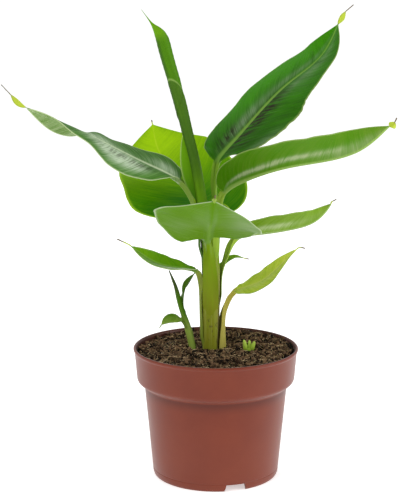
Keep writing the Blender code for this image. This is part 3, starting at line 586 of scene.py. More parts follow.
def stem_relief(degrees, share, z):
    """Front sheath with a step at each side and at its top, a low wave behind it, and upright fibres."""
    away = off_sheath(degrees)
    front = smooth((SHEATH_HALF - away) / 7 + 0.5) * smooth((SHEATH_TOP - z) / 3)
    back = 0.2 * np.cos(np.radians(3 * degrees + 40 + 60 * share))
    fibre = 0.05 * noise(degrees / 6.0, z / 60.0, octaves=2) + 0.07 * noise(degrees / 25.0, z / 12.0, 3)
    return SHEATH_STEP * front + back * (1 - front) - 0.15 + fibre


def rightward(degrees):
    """Degrees from the front towards the viewer's right. The tube's own angle runs to the left."""
    return (180 - degrees) % 360 - 180


def stem_tone(degrees, share, z):
    """Pale streaks and sides, a dark strip of painted shade under the leaves, a line at each sheath edge, and
    a dark brown line and specks. The pale right side is partly a pale sheath edge and partly a painted
    highlight.
    """
    turn = rightward(degrees)
    streak = noise(degrees / 7.0, z / 70.0, 14, octaves=2)
    # Pale: the stem's own streaks, a paler low left side, and a pale right side that is partly a pale sheath
    # edge and partly a painted highlight.
    pale = (0.75 * window(turn, 58, 120, 30) * window(z, 118, 152, 14)
            + 0.7 * window(turn, -125, -58, 24) * smooth((138 - z) / 14)
            + 0.3 * window(turn, -60, 50, 20) * smooth(streak * 2.4) * window(z, 96, 168, 14))
    # Painted shade: a darker strip on the left, high up under the leaves.
    dark = window(turn, -115, -38, 22) * window(z, 138, 178, 10)
    away = off_sheath(degrees)
    line = 0.6 * np.exp(-((away - SHEATH_HALF - 2) / 2.5) ** 2) * window(z, 112, SHEATH_TOP - 1, 8)
    brown_line = window(turn + 5 * noise(z / 9.0, 3.0, 4), 46, 70, 9) * window(z, 93, 134, 7)
    specks = smooth((noise(degrees / 9.0, z / 2.4, 21) - 0.3) * 6)
    specks = specks * window(turn, -20, 52, 20) * window(z, 97, 136, 12)
    brown = np.clip(brown_line * (0.85 + 0.4 * streak) + 0.8 * specks, 0, 1)
    return pale + 0 * z, dark + 0 * z, line + 0 * z, brown + 0 * z


SPEAR_PATH = [(-8.2, 2.2, 189.4, 4.3), (-11.0, 2.2, 205.0, 4.1), (-15.6, 2.0, 231.0, 3.9),
              (-19.9, 1.6, 249.0, 3.9), (-25.6, 1.2, 273.0, 4.5), (-31.0, 0.8, 292.0, 4.7),
              (-35.8, 0.5, 309.0, 4.9), (-38.0, 0.3, 317.0, 4.7), (-41.0, 0.2, 322.5, 3.4),
              (-44.6, 0.0, 327.0, 1.4), (-47.6, 0.0, 331.0, 0.7), (-50.3, 0.0, 334.6, 0.5),
              (-52.2, 0.0, 337.2, 0.45)]
SPEAR_STEP = 0.5      # height of the step at the outer edge of the roll
LIP_HEIGHT = 288.5    # height of the lip at the front
LIP_SLANT = 0.068     # millimetres that the lip falls for each degree to the right
LIP_BEND = 0.00093    # and for each squared degree
WING_PATH = [(-13.0, 0.8, 203.0), (-15.4, 0.6, 216.0), (-18.4, 0.6, 233.0), (-22.2, 0.8, 250.0)]
WING_WIDTH = 8.6
WING_OUT = np.array([-0.86, -0.42, -0.28])    # the way in which the wing reaches out


def spear_turn(degrees, share):
    """Share of a turn from the outer edge of the roll, 0 at the edge and 1 just before it."""
    edge = 270 - 360 * smooth((share - 0.30) / 0.36)
    return ((edge - degrees) % 360) / 360


def above_lip(degrees, z):
    """Height above the slanting lip, where the outer turn of the roll ends."""
    turn = rightward(degrees)
    return z - (LIP_HEIGHT - LIP_SLANT * turn - LIP_BEND * turn ** 2)


def spear_relief(degrees, share, z):
    """Radius falls evenly around the roll and steps up at the outer edge; lateral veins show as fine ribs."""
    step = spear_turn(degrees, share)
    ends = smooth(share * 12) * (1 - smooth((share - 0.86) / 0.06))
    ribs = 0.06 * np.sin(2 * math.pi * (z + 0.09 * degrees) / 4.0) * ends
    lip = 0.3 * smooth(above_lip(degrees, z) / 0.8)
    return SPEAR_STEP * (step - 0.5) * ends + ribs + 0.05 * noise(degrees / 9.0, z / 40.0, 5) * ends - lip


def spear_tone(degrees, share, z):
    """Fresh green above the lip, yellow-green shoulder, darker left side, and a light line along the lip."""
    turn = rightward(degrees)
    height = above_lip(degrees, z)
    fresh = smooth(height / 1.5 + 0.5)
    shoulder = smooth((share - 0.82) / 0.06)
    lip = np.exp(-(height / 0.7) ** 2) * window(turn, -60, 85, 25)
    dark = 0.2 + 0.35 * noise(degrees / 40.0, z / 30.0, 8) + 0.5 * window(turn, -110, -35, 35)
    low = smooth((222 - z) / 34)
    dark = np.clip(dark, 0, 1) * (1 - shoulder) * (1 - 0.8 * low)
    return 0.7 * shoulder, dark, 0.55 * lip, 0.85 * fresh * (1 - shoulder)


def wing_shell(rows=60, columns=14):
    """The open edge of the roll: a thin sheet that leaves the tube on the left and turns forward a little."""
    stops = np.linspace(0, 1, rows)
    mid = spline(WING_PATH, stops)[0]
    reach = WING_WIDTH * np.sin(math.pi * np.clip(stops * 0.92 + 0.04, 0, 1)) ** 0.8
    v = np.linspace(0, 1, columns)[None, :, None]
    line = mid[:, None] + np.array([2.0, 0.8, 0.6]) * (1 - v) + v * WING_OUT * reach[:, None, None]
    line[..., 2] += 0.25 * noise(stops[:, None] * 9, v[..., 0] * 2, 2) * v[..., 0]
    thick = unit(np.array([0.16, -0.33, 0.0])) * (0.42 - 0.2 * v ** 2)
    rim = line[:, -1:] + WING_OUT * 0.15
    ring = np.concatenate([line + thick, rim, (line - thick)[:, ::-1]], axis=1)
    sides = ring.shape[1]
    faces = ring_faces(rows, sides).tolist()
    for start in (0, (rows - 1) * sides):
        faces += strip(start, start + sides - 1, columns - 1)
        faces += [(start + columns - 1, start + columns, start + columns + 1)]
    across = np.concatenate([v[0, :, 0], [1.0], v[0, ::-1, 0]])[None] + 0 * ring[..., 0]
    # Painted light and shade: the wing is paler green towards its top, where light shines through it, and
    # deeper green low down.
    rise = smooth((ring[..., 2] - 205) / 35)
    place = np.stack([across * 9, 1 - 0.8 * rise, ring[..., 2]], -1)
    tone = np.stack([0.85 * rise, 0 * across, 0.9 * smooth((across - 0.9) / 0.08)], -1)
    return ring.reshape(-1, 3), faces, {"place": place.reshape(-1, 3), "tone": tone.reshape(-1, 3)}


STUB_PRONGS = [
    [(24.2, -5.0, 80.3, 3.0), (24.2, -5.0, 90.0, 3.3), (24.1, -5.0, 93.4, 2.7), (24.0, -5.0, 95.0, 1.4)],
    [(22.8, -5.2, 86.0, 1.7), (21.8, -5.2, 94.0, 1.6), (20.7, -5.3, 99.4, 1.2), (20.3, -5.3, 101.0, 0.6)],
    [(24.4, -4.6, 86.0, 1.5), (24.5, -4.4, 94.0, 1.3), (24.4, -4.3, 99.2, 1.0), (24.3, -4.3, 100.4, 0.5)],
    [(25.5, -5.0, 86.0, 1.7), (26.4, -5.1, 94.0, 1.6), (27.6, -5.2, 98.4, 1.2), (28.2, -5.2, 99.8, 0.6)],
]


def stub_relief(degrees, share, z):
    """Torn fibres: ridges that grow towards the cut end."""
    return 0.22 * noise(degrees / 20.0, z / 5.0, 6) * smooth(share * 2)


def stub_tone(degrees, share, z):
    """Pale at the cut end and dark at the foot."""
    return 0.5 * smooth((z - 95) / 5), 0.7 * smooth((96 - z) / 5), 0 * z, 0 * z


# %% [markdown]
# ## The pot
#
# A nursery pot is thin injection-moulded plastic: a slightly tapered wall, a straight collar under a rolled
# rim, and a foot ring with drain notches. The profile is turned around the axis. Corners are rounded by
# cutting each one back a little and drawing a short arc there. A notch is made by lifting the lowest points
# of the profile, in the narrow range of angles where it lies.

# %% Pot profile and surface
POT_OUTER = [(59.4, 95.0), (60.0, 94.4), (60.0, 93.2), (59.2, 92.4), (57.5, 72.4), (57.0, 71.0),
             (55.9, 69.9), (52.7, 67.9), (52.1, 66.9), (51.9, 65.3), (46.34, 5.9), (46.0, 5.5),
             (46.26, 5.0), (46.0, 2.2), (45.5, 0.7), (44.9, 0.0)]
POT_UNDER = [(44.1, 0.0), (44.3, 5.0), (31.0, 5.0), (28.6, 0.0), (0.0, 0.0)]
POT_INNER = [(0.0, 1.5), (27.6, 1.5), (30.0, 6.5), (44.9, 6.5), (50.6, 66.0), (51.0, 67.5),
             (54.6, 70.8), (56.1, 72.6), (58.0, 92.6), (58.5, 95.0)]
FOOT_RADIUS = 45.0    # middle of the foot ring
FOOT_INSIDE = 43.0    # nothing of the foot ring lies nearer to the axis
NOTCH_WIDTH = 13.6
NOTCH_HEIGHT = 5.0
NOTCH_SLANT = 1.6     # degrees that a notch's side leans outwards
NOTCH_ANGLES = (-72.0, 48.0, 168.0)
RIM_NICKS = ((-18.6, 0.35), (2.7, 0.25))    # degrees right of the front, and depth
BASE_TOP = 1.5        # thickness of the base


def rounded(profile, cut=0.45, steps=4):
    """Profile with each corner replaced by a short arc: a quadratic curve between points near the corner."""
    p = np.array(profile, float)
    out = [p[0]]
    for before, corner, after in zip(p[:-2], p[1:-1], p[2:]):
        a, b = before - corner, after - corner
        reach = min(cut, 0.4 * np.linalg.norm(a), 0.4 * np.linalg.norm(b))
        start, end = corner + unit(a) * reach, corner + unit(b) * reach
        t = np.linspace(0, 1, steps)[:, None]
        out.extend((1 - t) ** 2 * start + 2 * t * (1 - t) * corner + t ** 2 * end)
    out.append(p[-1])
    return np.array(out)


def pot_angles(count=300):
    """Even angles around the pot, with pairs of close ones at the sides of each notch."""
    half = math.degrees(math.asin(NOTCH_WIDTH / 2 / FOOT_RADIUS))
    sides = np.array([a + s * (half + d) for a in NOTCH_ANGLES for s in (-1, 1)
                      for d in (-0.15, 0.0, 0.4, 0.8, 1.2, NOTCH_SLANT, NOTCH_SLANT + 0.15)])
    return np.sort(np.concatenate([np.arange(0, 360, 360 / count), sides % 360])), half


def pot_shell():
    """Profile turned around the axis, with lifted notches, two small nicks in the rim and two closed discs.

    The layer holds the shade under the collar, the inside of the pot and the height."""
    angles, half = pot_angles()
    wall = rounded(POT_OUTER + POT_UNDER[:-1])
    long = [(wall[i] + (wall[i + 1] - wall[i]) * t) for i in range(len(wall) - 1)
            for t in np.linspace(0, 1, 1 + max(1, int(np.linalg.norm(wall[i + 1] - wall[i]) / 3)))[:-1]]
    inner = rounded(POT_INNER[1:])
    profile = np.concatenate([np.array(long), wall[-1:], inner])
    radius, height = profile[None, :, 0], profile[None, :, 1]
    turn = np.radians(angles)[:, None]
    inside = np.zeros(len(angles))
    for a in NOTCH_ANGLES:
        away = np.abs((angles - a + 180) % 360 - 180)
        inside = np.maximum(inside, np.clip(1 + (half - away) / NOTCH_SLANT, 0, 1))
    outer = (np.arange(len(profile)) < len(long) + 1) & (profile[:, 0] > FOOT_INSIDE)
    lift = outer[None] * np.clip(NOTCH_HEIGHT * inside[:, None] - height, 0, None)
    z = height + lift
    facing = (angles[:, None] - 270 + 180) % 360 - 180
    nick = sum(depth * np.exp(-((facing - at) / 0.8) ** 2) for at, depth in RIM_NICKS)
    r = radius - nick * np.exp(-((height - 94.6) / 0.7) ** 2) * (radius > 59)
    r = r + 0.05 * np.sin(turn * 3 + 1) * smooth((height - 10) / 40)
    ring = np.stack([r * np.cos(turn), r * np.sin(turn), z + 0 * turn], -1)
    sides = len(angles)
    ring = ring.transpose(1, 0, 2)
    faces = ring_faces(len(profile), sides).tolist()
    low, high = 0, (len(profile) - 1) * sides
    faces += [(low + j, low + (j + 1) % sides, high + (j + 1) % sides, high + j) for j in range(sides)]
    seam = len(long)
    cut = ring_faces(2, sides) + seam * sides
    wanted = {tuple(row) for row in cut.tolist()}
    faces = [f for f in faces if tuple(f) not in wanted]
    points = ring.reshape(-1, 3)
    centres = np.array([[0, 0, 0.0], [0, 0, BASE_TOP]])
    base = len(points)
    for centre, row in ((base, seam), (base + 1, seam + 1)):
        faces += fan(row * sides, sides, centre)
    points = np.concatenate([points, centres])
    band = (smooth((points[:, 2] - 56.0) / 10.0) ** 2 * smooth((67.2 - points[:, 2]) / 1.0)
            * (np.hypot(points[:, 0], points[:, 1]) > 50.5))
    inner_wall = np.concatenate([np.repeat(np.arange(len(profile)) > seam, sides), [0, 1]]).astype(float)
    level = np.concatenate([np.repeat(height[0], sides), centres[:, 2]])
    return points, faces, {"tone": np.stack([band, inner_wall, level], -1)}


# %% [markdown]
# ## The soil
#
# Potting soil is milled peat and bark: dark crumbs of many sizes, a few tan fibres and pale grains. The bed
# is a fine polar grid over the same low mound as in the solid, roughened by noise. Loose crumbs lie half sunk
# in it. Each one is a stretched ball of twenty faces, and all of them are written into one mesh at once.

# %% Soil bed, crumbs, fibres and grains
SOIL_GAP = 0.35       # clearance to the pot
SOIL_EDGE_PLAY = 0.2  # further clearance at the top edge
SOIL_EDGE_Z = 91.2    # height of the soil at the edge
SOIL_RISE = 1.6       # height of the mound above its edge
SOIL_TILT = (0.02, 0.03)
SOIL_REACH = 56.0     # crumbs lie nearer to the axis than this
FIBRE_REACH = 54.0    # and the middles of the fibres nearer than this
CLEAR = 1.0           # distance that both keep from a stem
HOLES = [(-3.6, 4.0, 7.6), (3.6, 4.0, 5.4), (-16.6, 5.0, 2.9), (24.2, -5.0, 4.6)]    # x, y, radius


def soil_height(x, y):
    """Surface of the potting soil: a low mound with rolling lumps."""
    r = np.hypot(x, y)
    lumps = (0.7 * np.sin(0.19 * x + 0.8) * np.cos(0.23 * y - 0.4) + 0.5 * np.sin(0.41 * x - 0.33 * y + 2.0)
             + 0.35 * np.cos(0.62 * y + 0.21 * x))
    tilt = SOIL_TILT[0] * x + SOIL_TILT[1] * y
    return SOIL_EDGE_Z + SOIL_RISE * (1 - (r / 58) ** 2) + tilt + lumps * smooth((r + 4) / 14)


def rough_height(x, y):
    """The mound with crumbs of three sizes, flattened to the stems' feet."""
    crumbs = (0.55 * noise(x / 3.0, y / 3.0, 1) + 0.5 * np.abs(noise(x / 1.3, y / 1.3, 4, octaves=2)) - 0.15)
    near = np.ones(np.shape(x))
    for hx, hy, hr in HOLES:
        near = near * smooth((np.hypot(x - hx, y - hy) - hr * 0.8) / 2.5)
    return soil_height(x, y) + crumbs * (0.3 + 0.7 * near) - 0.5 * (1 - near)


def soil_shell(sides=400, rows=95):
    """Bed of soil: the pot's inside less the clearance, closed by the rough mound on a polar grid."""
    inner = np.array(POT_INNER[2:])
    edge = np.interp(SOIL_EDGE_Z, inner[:, 1], inner[:, 0]) - SOIL_GAP - SOIL_EDGE_PLAY
    turn = np.linspace(0, 2 * math.pi, sides, endpoint=False)[None]
    radius = edge * np.linspace(1, 0.012, rows)[:, None]
    x, y = radius * np.cos(turn), radius * np.sin(turn)
    top = np.stack([x, y, rough_height(x, y)], -1)
    low = np.array([(r - SOIL_GAP, z + SOIL_GAP) for r, z in POT_INNER[1:-2]])
    under = np.stack([low[:, :1] * np.cos(turn), low[:, :1] * np.sin(turn), low[:, 1:] + 0 * turn], -1)
    ring = np.concatenate([under, top])
    faces = ring_faces(len(ring), sides).tolist()
    points = np.concatenate([ring.reshape(-1, 3), [[0, 0, low[0, 1]], [0, 0, rough_height(0.0, 0.0)]]])
    last = (len(ring) - 1) * sides
    for centre, start in ((len(points) - 2, 0), (len(points) - 1, last)):
        faces += fan(start, sides, centre)
    return points, faces, {"tone": np.zeros((len(points), 3))}


def scattered(rng, count, spread):
    """Random places on the soil, evenly by area, that keep clear of the stems."""
    r = spread * np.sqrt(rng.random(count * 2))
    a = rng.random(count * 2) * 2 * math.pi
    x, y = r * np.cos(a), r * np.sin(a)
    free = np.ones(len(x), bool)
    for hx, hy, hr in HOLES:
        free &= np.hypot(x - hx, y - hy) > hr * 0.85 + CLEAR
    return np.stack([x, y], 1)[free][:count]


def ball_points():
    """The twelve corners and twenty faces of an icosahedron."""
    g = (1 + 5 ** 0.5) / 2
    p = np.array([(-1, g, 0), (1, g, 0), (-1, -g, 0), (1, -g, 0), (0, -1, g), (0, 1, g),
                  (0, -1, -g), (0, 1, -g), (g, 0, -1), (g, 0, 1), (-g, 0, -1), (-g, 0, 1)])
    f = [(0, 11, 5), (0, 5, 1), (0, 1, 7), (0, 7, 10), (0, 10, 11), (1, 5, 9), (5, 11, 4), (11, 10, 2),
         (10, 7, 6), (7, 1, 8), (3, 9, 4), (3, 4, 2), (3, 2, 6), (3, 6, 8), (3, 8, 9), (4, 9, 5), (2, 4, 11),
         (6, 2, 10), (8, 6, 7), (9, 8, 1)]
    return unit(p), np.array(f)


def turns(rng, count):
    """Random rotation matrices, from random unit quaternions."""
    w, x, y, z = unit(rng.normal(size=(count, 4))).T
    return np.stack([1 - 2 * (y * y + z * z), 2 * (x * y - z * w), 2 * (x * z + y * w),
                     2 * (x * y + z * w), 1 - 2 * (x * x + z * z), 2 * (y * z - x * w),
                     2 * (x * z - y * w), 2 * (y * z + x * w), 1 - 2 * (x * x + y * y)], -1).reshape(-1, 3, 3)


def crumb_shell(seed, count, size, stretch, lift):
    """Crumbs on the soil: uneven, stretched balls, turned at random and sunk by part of their size."""
    rng = np.random.default_rng(seed)
    ball, tri = ball_points()
    at = scattered(rng, count, SOIL_REACH)
    count = len(at)
    half = size[0] + (size[1] - size[0]) * rng.random(count) ** 3
    long = half * (1 + stretch * rng.random(count))
    flat = half * (0.6 + 0.3 * rng.random(count))
    axes = np.stack([long, half, flat], 1)
    uneven = 1 + 0.28 * (rng.random((count, len(ball))) - 0.5) * 2
    body = ball[None] * uneven[..., None] * axes[:, None]
    body = np.einsum("nij,nkj->nki", turns(rng, count), body)
    body[..., :2] += at[:, None]
    body[..., 2] += (rough_height(at[:, 0], at[:, 1]) + lift * half)[:, None]
    faces = (tri[None] + len(ball) * np.arange(count)[:, None, None]).reshape(-1, 3).tolist()
    tone = np.repeat(rng.random((count, 3)), len(ball), axis=0)
    return body.reshape(-1, 3), faces, {"tone": tone}


def fibre_shell(seed, count):
    """Tan fibres: bent three-sided threads of five stretches that lie on the crumbs."""
    rng = np.random.default_rng(seed)
    at = scattered(rng, count, FIBRE_REACH)
    count, joints = len(at), 6
    length = 2.0 + 7.0 * rng.random(count) ** 2
    heading = rng.random(count) * 2 * math.pi
    bend = (rng.random(count) - 0.5) * 1.6
    t = np.linspace(-0.5, 0.5, joints)[None]
    angle = heading[:, None] + bend[:, None] * t * 2
    x = at[:, :1] + length[:, None] * t * np.cos(angle)
    y = at[:, 1:] + length[:, None] * t * np.sin(angle)
    away = np.hypot(x, y)
    x, y = x * np.minimum(1, SOIL_REACH / away), y * np.minimum(1, SOIL_REACH / away)
    z = rough_height(x, y) + 0.8 + 0.6 * (rng.random(count) - 0.3)[:, None] * (1 - (2 * t) ** 2)
    mid = np.stack([x, y, z], -1)
    taper = 1 - 0.7 * (2 * t[0]) ** 4
    half = (0.09 + 0.13 * rng.random(count))[:, None, None, None] * taper[None, :, None, None]
    side = unit(np.stack([-np.sin(angle), np.cos(angle), 0 * angle], -1))[:, :, None]
    up = np.array([0, 0, 1.0])
    corner = np.radians([90, 210, 330])[None, None, :, None]
    ring = mid[:, :, None] + half * (np.cos(corner) * side + np.sin(corner) * up)
    one = ring_faces(joints, 3)
    faces = (one[None] + joints * 3 * np.arange(count)[:, None, None]).reshape(-1, 4).tolist()
    ends = np.array([(0, 1, 2), (3 * joints - 3, 3 * joints - 2, 3 * joints - 1)])
    faces += (ends[None] + joints * 3 * np.arange(count)[:, None, None]).reshape(-1, 3).tolist()
    return ring.reshape(-1, 3), faces, {"tone": np.repeat(rng.random((count, 3)), joints * 3, axis=0)}


# %% [markdown]
# ## Materials
#
# A banana leaf owes its look to its lateral veins: hundreds of fine parallel lines from midrib to margin,
# slight changes of green between them, and in this plant dark bars between the veins. A silvery sheen is
# painted over them as well, a highlight laid into the colour. The pattern is drawn on the vein number, so it
# follows the curve of every leaf. One node group makes the streaks, another mixes the greens, and each leaf
# gives its own greens to it.

# %% Small helpers for node trees
def fill(tree, made, values):
    """Link the inputs of a node that get a socket, and set the others."""
    for key, value in values.items():
        if isinstance(value, bpy.types.NodeSocket):
            tree.links.new(value, made.inputs[key])
        else:
            made.inputs[key].default_value = value


def node(tree, kind, inputs=None, **settings):
    """Add a shader node, set its properties, and link or set its inputs."""
    made = tree.nodes.new("ShaderNode" + kind)
    for key, value in settings.items():
        setattr(made, key, value)
    fill(tree, made, inputs or {})
    return made


def calc(tree, operation, a, b=0.0, clamp=False):
    """One step of arithmetic, held between 0 and 1 where clamp is set."""
    return node(tree, "Math", {0: a, 1: b}, operation=operation, use_clamp=clamp).outputs[0]


def plus(tree, a, b, clamp=False):
    return calc(tree, "ADD", a, b, clamp)


def minus(tree, a, b):
    return calc(tree, "SUBTRACT", a, b)


def times(tree, a, b, clamp=False):
    return calc(tree, "MULTIPLY", a, b, clamp)


def blend(tree, factor, a, b):
    """Colour a where the factor is 0 and b where it is 1."""
    return node(tree, "Mix", {0: factor, 6: a, 7: b}, data_type="RGBA").outputs[2]


def scaled(tree, value, low, high, start=0.0, end=1.0):
    """Smooth step of a value from low to high, mapped to start and end."""
    inputs = {"Value": value, "From Min": low, "From Max": high, "To Min": start, "To Max": end}
    return node(tree, "MapRange", inputs, interpolation_type="SMOOTHSTEP").outputs[0]


def layer(tree, name):
    """The three values of a point attribute."""
    vector = node(tree, "Attribute", attribute_name=name).outputs["Vector"]
    return node(tree, "SeparateXYZ", {0: vector}).outputs


def cloud(tree, vector, scale, detail, rough=0.5):
    """Noise from 0 to 1 at a place."""
    inputs = {"Vector": vector, "Scale": scale, "Detail": detail, "Roughness": rough}
    return node(tree, "TexNoise", inputs).outputs[0]


def grained(tree, across, along, scales, seed, detail=3.0, rough=0.5):
    """Noise that is longer one way: each direction has its own scale, and the seed is the third."""
    place = {0: times(tree, across, scales[0]), 1: times(tree, along, scales[1]), 2: seed}
    return cloud(tree, node(tree, "CombineXYZ", place).outputs[0], 1.0, detail, rough)


def group(name, inputs, outputs):
    """New node group with named sockets; returns it with its input and output nodes."""
    tree = bpy.data.node_groups.new(name, "ShaderNodeTree")
    for key, (kind, value) in inputs.items():
        made = tree.interface.new_socket(name=key, in_out="INPUT", socket_type="NodeSocket" + kind)
        made.default_value = value
    for key, kind in outputs.items():
        tree.interface.new_socket(name=key, in_out="OUTPUT", socket_type="NodeSocket" + kind)
    return tree, tree.nodes.new("NodeGroupInput").outputs, tree.nodes.new("NodeGroupOutput").inputs


def use(tree, name, values):
    """Place a node group in a material with its own values."""
    made = tree.nodes.new("ShaderNodeGroup")
    made.node_tree = bpy.data.node_groups[name]
    fill(tree, made, values)
    return made.outputs


def rgb(r, g, b):
    """Colour with full alpha."""
    return (r, g, b, 1.0)


# %% Streaks that follow the lateral veins
tree, given, out = group("leaf_streaks", {"Seed": ("Float", 0.0)},
                         {"Fine": "Float", "Broad": "Float", "Lines": "Float", "Bars": "Float"})
vein = layer(tree, "place")[2]
reach = layer(tree, "more")[0]
fine = grained(tree, vein, reach, (1.5, 0.05), given["Seed"], 2.0)
broad = grained(tree, vein, reach, (0.16, 0.03), given["Seed"])
wobble = times(tree, broad, 2.6)
cycle = plus(tree, times(tree, vein, 1 / PLEAT_STEP), wobble)
wave = calc(tree, "ABSOLUTE", calc(tree, "SINE", times(tree, cycle, math.pi)))
lines = scaled(tree, wave, 0.0, 0.22, 1.0, 0.0)
bars = grained(tree, vein, reach, (0.45, 0.07), plus(tree, given["Seed"], 7.3), 2.0, 0.7)
tree.links.new(fine, out["Fine"])
tree.links.new(broad, out["Broad"])
tree.links.new(lines, out["Lines"])
tree.links.new(scaled(tree, bars, 0.44, 0.56), out["Bars"])

# %% [markdown]
# The greens of a leaf: the upper side runs from a deep to a bright green where the tone says so and a
# little from streak to streak, and the underside has its own two greens. A painted sheen, a highlight laid
# into the colour, lies over both, and bars of dark brown-green show where their mask allows. Midrib, margin
# and the dry point come last.

# %% Greens, painted sheen, bars, midrib and margin of a leaf
tree, given, out = group(
    "leaf_paint",
    {"Seed": ("Float", 0.0),
     "Deep": ("Color", rgb(0.03, 0.12, 0.01)), "Bright": ("Color", rgb(0.1, 0.3, 0.01)),
     "Under Deep": ("Color", rgb(0.1, 0.2, 0.03)), "Under Bright": ("Color", rgb(0.2, 0.4, 0.05)),
     "Painted Sheen": ("Color", rgb(0.3, 0.4, 0.25)), "Bar": ("Color", rgb(0.05, 0.02, 0.015)),
     "Rib": ("Color", rgb(0.3, 0.45, 0.1)), "Margin": ("Color", rgb(0.4, 0.5, 0.15)),
     "Point": ("Color", rgb(0.45, 0.55, 0.05)), "Thread": ("Color", rgb(0.16, 0.12, 0.07)),
     "Stalk Low": ("Color", rgb(0.2, 0.21, 0.013)), "Stalk High": ("Color", rgb(0.175, 0.3, 0.008)),
     "From": ("Float", 95.0), "To": ("Float", 185.0), "Streak": ("Float", 1.0)},
    {"Color": "Color", "Roughness": "Float", "Height": "Float"})
streaks = use(tree, "leaf_streaks", {"Seed": given["Seed"]})
bright, painted_sheen, mark = layer(tree, "tone")[:3]
rib, margin, under = layer(tree, "parts")[:3]
reach, dry, stalk = layer(tree, "more")[:3]
vary = plus(tree, times(tree, minus(tree, streaks["Broad"], 0.5), 1.1),
            times(tree, minus(tree, streaks["Fine"], 0.5), 1.3))
factor = plus(tree, bright, times(tree, vary, given["Streak"]), clamp=True)
upper = blend(tree, factor, given["Deep"], given["Bright"])
lower = blend(tree, factor, given["Under Deep"], given["Under Bright"])
colour = blend(tree, under, upper, lower)
# Painted sheen: a streaky highlight laid into the colour where the sheen spots allow.
sheen = plus(tree, times(tree, streaks["Fine"], 3.2), times(tree, streaks["Broad"], 1.8))
painted_sheen_amount = times(tree, painted_sheen, minus(tree, sheen, 1.5), clamp=True)
colour = blend(tree, painted_sheen_amount, colour, given["Painted Sheen"])
bar = plus(tree, times(tree, streaks["Bars"], 0.9), 0.1)
bar = times(tree, mark, bar, clamp=True)
colour = blend(tree, bar, colour, given["Bar"])
pale_line = times(tree, times(tree, streaks["Lines"], 0.12), given["Streak"])
colour = blend(tree, pale_line, colour, given["Rib"])
rib_soft = times(tree, rib, plus(tree, times(tree, streaks["Fine"], 0.3), 0.7))
colour = blend(tree, rib_soft, colour, given["Rib"])
place = node(tree, "TexCoord").outputs["Object"]
up = times(tree, node(tree, "SeparateXYZ", {0: place}).outputs[2], 1000)
thread = grained(tree, reach, up, (2.2, 0.05), given["Seed"])
rise = scaled(tree, up, given["From"], given["To"])
rise = plus(tree, rise, minus(tree, thread, 0.5), clamp=True)
tint = blend(tree, rise, given["Stalk Low"], given["Stalk High"])
colour = blend(tree, stalk, colour, tint)
colour = blend(tree, times(tree, margin, 0.8), colour, given["Margin"])
colour = blend(tree, scaled(tree, dry, 0.0, 0.06), colour, given["Point"])
colour = blend(tree, scaled(tree, dry, 0.45, 0.7), colour, given["Thread"])
rough = plus(tree, times(tree, painted_sheen_amount, 0.12), plus(tree, times(tree, streaks["Fine"], 0.16), 0.32))
height = plus(tree, times(tree, streaks["Fine"], 0.6), times(tree, streaks["Lines"], 0.5))
tree.links.new(colour, out["Color"])
tree.links.new(rough, out["Roughness"])
tree.links.new(height, out["Height"])


def finish_material(tree, colour, rough, height, bump, reach, **constants):
    """Shader with the colour, roughness and height that a tree gives, and plain constants on its sockets."""
    relief = node(tree, "Bump", {"Strength": bump, "Distance": reach, "Height": height})
    plain = {key.replace("_", " "): value for key, value in constants.items()}
    fill(tree, tree.nodes["Principled BSDF"],
         {"Base Color": colour, "Roughness": rough, "Normal": relief.outputs[0], **plain})


def new_material(name):
    """Empty node material, with its tree."""
    made = bpy.data.materials.new(name)
    made.use_nodes = True
    return made, made.node_tree


def painted(name, paint_group, palette, bump, gloss):
    """Material that uses a paint group with its own colours and numbers."""
    made, tree = new_material(name)
    values = {key: rgb(*value) if isinstance(value, tuple) else value for key, value in palette.items()}
    paint = use(tree, paint_group, values)
    finish_material(tree, paint["Color"], paint["Roughness"], paint["Height"], bump, 0.0002,
                    Specular_IOR_Level=gloss)
    return made


def leaf_material(name, palette):
    """Leaf with its own greens and hardly any gloss."""
    return painted(name, "leaf_paint", palette, 0.35, 0.04)


# %% [markdown]
# Stems and stalks are finely lined along their length and pass from green to straw colour. The pot is dyed
# plastic, even, with a fine satin texture, and a soft sheen that pales its sides.
# The soil is nearly black when moist and brown where it is dry.

# %% Stem, spear, pot and soil materials
tree, given, out = group(
    "stalk_paint",
    {"Seed": ("Float", 0.0), "Low": ("Color", rgb(0.1, 0.2, 0.02)), "High": ("Color", rgb(0.2, 0.3, 0.02)),
     "Pale": ("Color", rgb(0.5, 0.5, 0.2)), "Dark": ("Color", rgb(0.03, 0.08, 0.01)),
     "Edge": ("Color", rgb(0.5, 0.5, 0.25)), "Fresh": ("Color", rgb(0.07, 0.18, 0.003)),
     "From": ("Float", 90.0), "To": ("Float", 170.0)},
    {"Color": "Color", "Roughness": "Float", "Height": "Float"})
around, fresh, up = layer(tree, "place")[:3]
pale, dark, line = layer(tree, "tone")[:3]
thread = grained(tree, around, up, (2.2, 0.05), given["Seed"])
patch = grained(tree, around, up, (0.25, 0.07), given["Seed"])
rise = scaled(tree, up, given["From"], given["To"])
rise = plus(tree, rise, times(tree, minus(tree, patch, 0.5), 0.8), clamp=True)
colour = blend(tree, fresh, blend(tree, rise, given["Low"], given["High"]), given["Fresh"])
vary = times(tree, minus(tree, thread, 0.5), 0.5)
colour = blend(tree, plus(tree, pale, vary, clamp=True), colour, given["Pale"])
colour = blend(tree, times(tree, dark, plus(tree, times(tree, thread, 0.6), 0.5),
                          clamp=True), colour, given["Dark"])
colour = blend(tree, line, colour, given["Edge"])
tree.links.new(colour, out["Color"])
tree.links.new(plus(tree, times(tree, patch, 0.2), 0.32), out["Roughness"])
tree.links.new(thread, out["Height"])


def stalk_material(name, palette):
    """Stem or stalk with its own colours."""
    return painted(name, "stalk_paint", palette, 0.3, 0.06)


